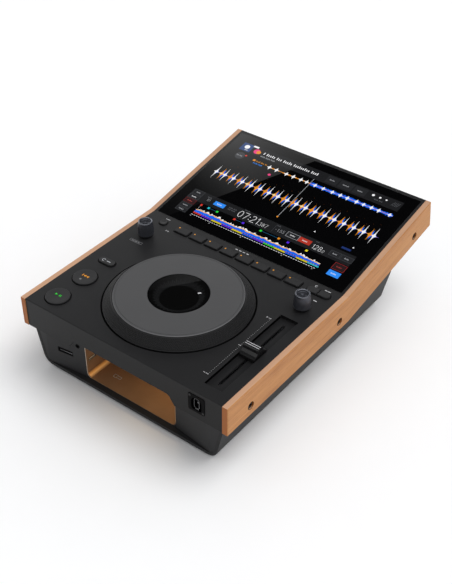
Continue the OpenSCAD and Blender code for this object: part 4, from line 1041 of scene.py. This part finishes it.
# ---- Studio
def panel(name, corners, material):
    """A flat board of the studio, which isn't part of the player."""
    mesh = bpy.data.meshes.new(name)
    mesh.from_pydata([tuple(c) for c in corners], [], [(0, 1, 2, 3)])
    mesh.materials.append(material)
    made = bpy.data.objects.new(name, mesh)
    bpy.context.scene.collection.objects.link(made)
    return made


def floor():
    white = surface("studio_floor", (0.97, 0.97, 0.97), 0.8, mottle=0.004, grain=0.0, edge=0,
                    specular=0.1)
    reach = 8.0
    panel("studio_floor", [(-reach, -reach, 0), (reach, -reach, 0), (reach, reach, 0),
                           (-reach, reach, 0)], white)


# The flags' plane: a point on it, the way along it and the way up it, in metres
FLAG_START = Vector((-0.4259, 0.4466, 0.6469))
FLAG_RUN = Vector((-0.7145, -0.6792, 0.1678))
FLAG_RISE = Vector((0.3531, -0.1430, 0.9246))


def flag(name, run0, run1, rise0, rise1, material):
    """A board behind the player, in the flags' plane, that only reflections see."""
    corners = [FLAG_START + FLAG_RUN * a + FLAG_RISE * b
               for a, b in ((run0, rise0), (run1, rise0), (run1, rise1), (run0, rise1))]
    board = panel(name, corners, material)
    for ray in ("camera", "diffuse", "shadow", "transmission", "volume_scatter"):
        setattr(board, "visible_" + ray, False)


def dark_flag():
    """Its lower edge is the straight line where the screen and the jog's lens turn from pale
    to black."""
    black = surface("flag_cloth", (0.004, 0.004, 0.004), 0.9, edge=0, specular=0.0)
    reach = 3.2
    flag("dark_flag", -reach, reach, 0.0, reach, black)


def graded_flag():
    """A strip of graded cloth under the dark flag, clear to its left and thick to its right, so
    the pale reflection fades towards the player."""
    made, tree, shader = blank("graded_cloth")
    shift = node(tree, "ShaderNodeVectorMath", {0: coords(tree), 1: FLAG_START},
                 operation="SUBTRACT")

    def along(direction, low, high):
        """Rises from 0 to 1 between two distances along a direction of the plane."""
        dot = node(tree, "ShaderNodeVectorMath", {0: shift.outputs[0], 1: direction},
                   operation="DOT_PRODUCT").outputs["Value"]
        return map_range(tree, dot, low, high)

    thin = ramp(tree, along(FLAG_RUN, -0.02, 0.18), [
        (0.0, (1, 1, 1)), (0.2, (0.8, 0.8, 0.8)), (0.4, (0.42, 0.42, 0.42)),
        (0.6, (0.16, 0.16, 0.16)), (1.0, (0.07, 0.07, 0.07))])
    lift = math_node(tree, "EXPONENT", math_node(
        tree, "MULTIPLY", along(FLAG_RISE, -0.11, 0.0), -1.0), 0.0)
    clear = math_node(tree, "MULTIPLY", thin, math_node(tree, "MULTIPLY", lift, 0.97))
    fade = math_node(tree, "MULTIPLY", along(FLAG_RUN, 0.34, 0.2), along(FLAG_RISE, -0.2, -0.12))
    fade = math_node(tree, "MULTIPLY", fade, along(FLAG_RUN, -0.4, -0.2))
    thick = math_node(tree, "MULTIPLY", math_node(tree, "SUBTRACT", 1.0, clear), fade)
    shader.inputs["Base Color"].default_value = (0.004, 0.004, 0.004, 1)
    shader.inputs["Specular IOR Level"].default_value = 0.0
    tree.links.new(node(tree, "ShaderNodeClamp", {0: thick}).outputs[0], shader.inputs["Alpha"])
    flag("graded_flag", -0.4, 0.34, -0.2, 0.0, made)


def lamp(name, kind, place, target, power, tint=(1, 1, 1)):
    """A lamp that lights the surfaces but shows in no reflection. Returns its settings."""
    data = bpy.data.lights.new(name, kind)
    data.energy = power
    data.color = tint
    made = bpy.data.objects.new(name, data)
    made.location = place
    made.rotation_euler = (Vector(target) - Vector(place)).to_track_quat("-Z", "Y").to_euler()
    made.visible_glossy = False
    made.visible_transmission = False
    bpy.context.scene.collection.objects.link(made)
    return data


def world():
    """White to the camera, to reflections and through clear covers. To the surfaces it is a soft
    fill that is stronger from behind and from the right."""
    made = bpy.data.worlds.new("studio")
    made.use_nodes = True
    tree = made.node_tree
    tree.nodes.clear()
    path = node(tree, "ShaderNodeLightPath").outputs
    seen = math_node(tree, "MAXIMUM", path["Is Camera Ray"], path["Is Glossy Ray"])
    seen = math_node(tree, "MAXIMUM", seen, path["Is Transmission Ray"])
    x, y = split(tree, coords(tree, "Generated"))[:2]
    side = math_node(tree, "ADD", math_node(tree, "MULTIPLY", y, 0.42),
                     math_node(tree, "MULTIPLY", x, 0.2))
    strength = math_node(tree, "ADD", side, 0.74)
    white = node(tree, "ShaderNodeBackground", {"Color": (1, 1, 1, 1), "Strength": 1.0})
    fill = node(tree, "ShaderNodeBackground", {"Color": (0.98, 0.985, 1, 1),
                                               "Strength": strength})
    mixed = node(tree, "ShaderNodeMixShader", {0: seen, 1: fill.outputs[0], 2: white.outputs[0]})
    out = node(tree, "ShaderNodeOutputWorld")
    tree.links.new(mixed.outputs[0], out.inputs["Surface"])
    bpy.context.scene.world = made


def camera():
    """Looks down on the player from its front right."""
    data = bpy.data.cameras.new("camera")
    data.sensor_width = 36.0
    data.lens = 63.57
    data.clip_start, data.clip_end = 0.05, 50.0
    made = bpy.data.objects.new("camera", data)
    azimuth, elevation = 37.553, 38.526
    made.location = (0.65937, -0.87766, 0.9197)
    made.rotation_euler = (math.radians(90 - elevation), 0.0, math.radians(azimuth))
    bpy.context.scene.collection.objects.link(made)
    bpy.context.scene.camera = made


floor()
dark_flag()
graded_flag()
world()
camera()
key = lamp("key", "SUN", (0.55, 0.7, 1.9), (0, 0, 0), 1.15)
key.angle = math.radians(40)
cave_lamp = lamp("cave_lamp", "AREA", mm(30, 55, 72.2), mm(50, 40, 0), 0.03, (1.0, 0.78, 0.5))
cave_lamp.size = 0.03
bpy.context.scene.view_settings.view_transform = "Standard"
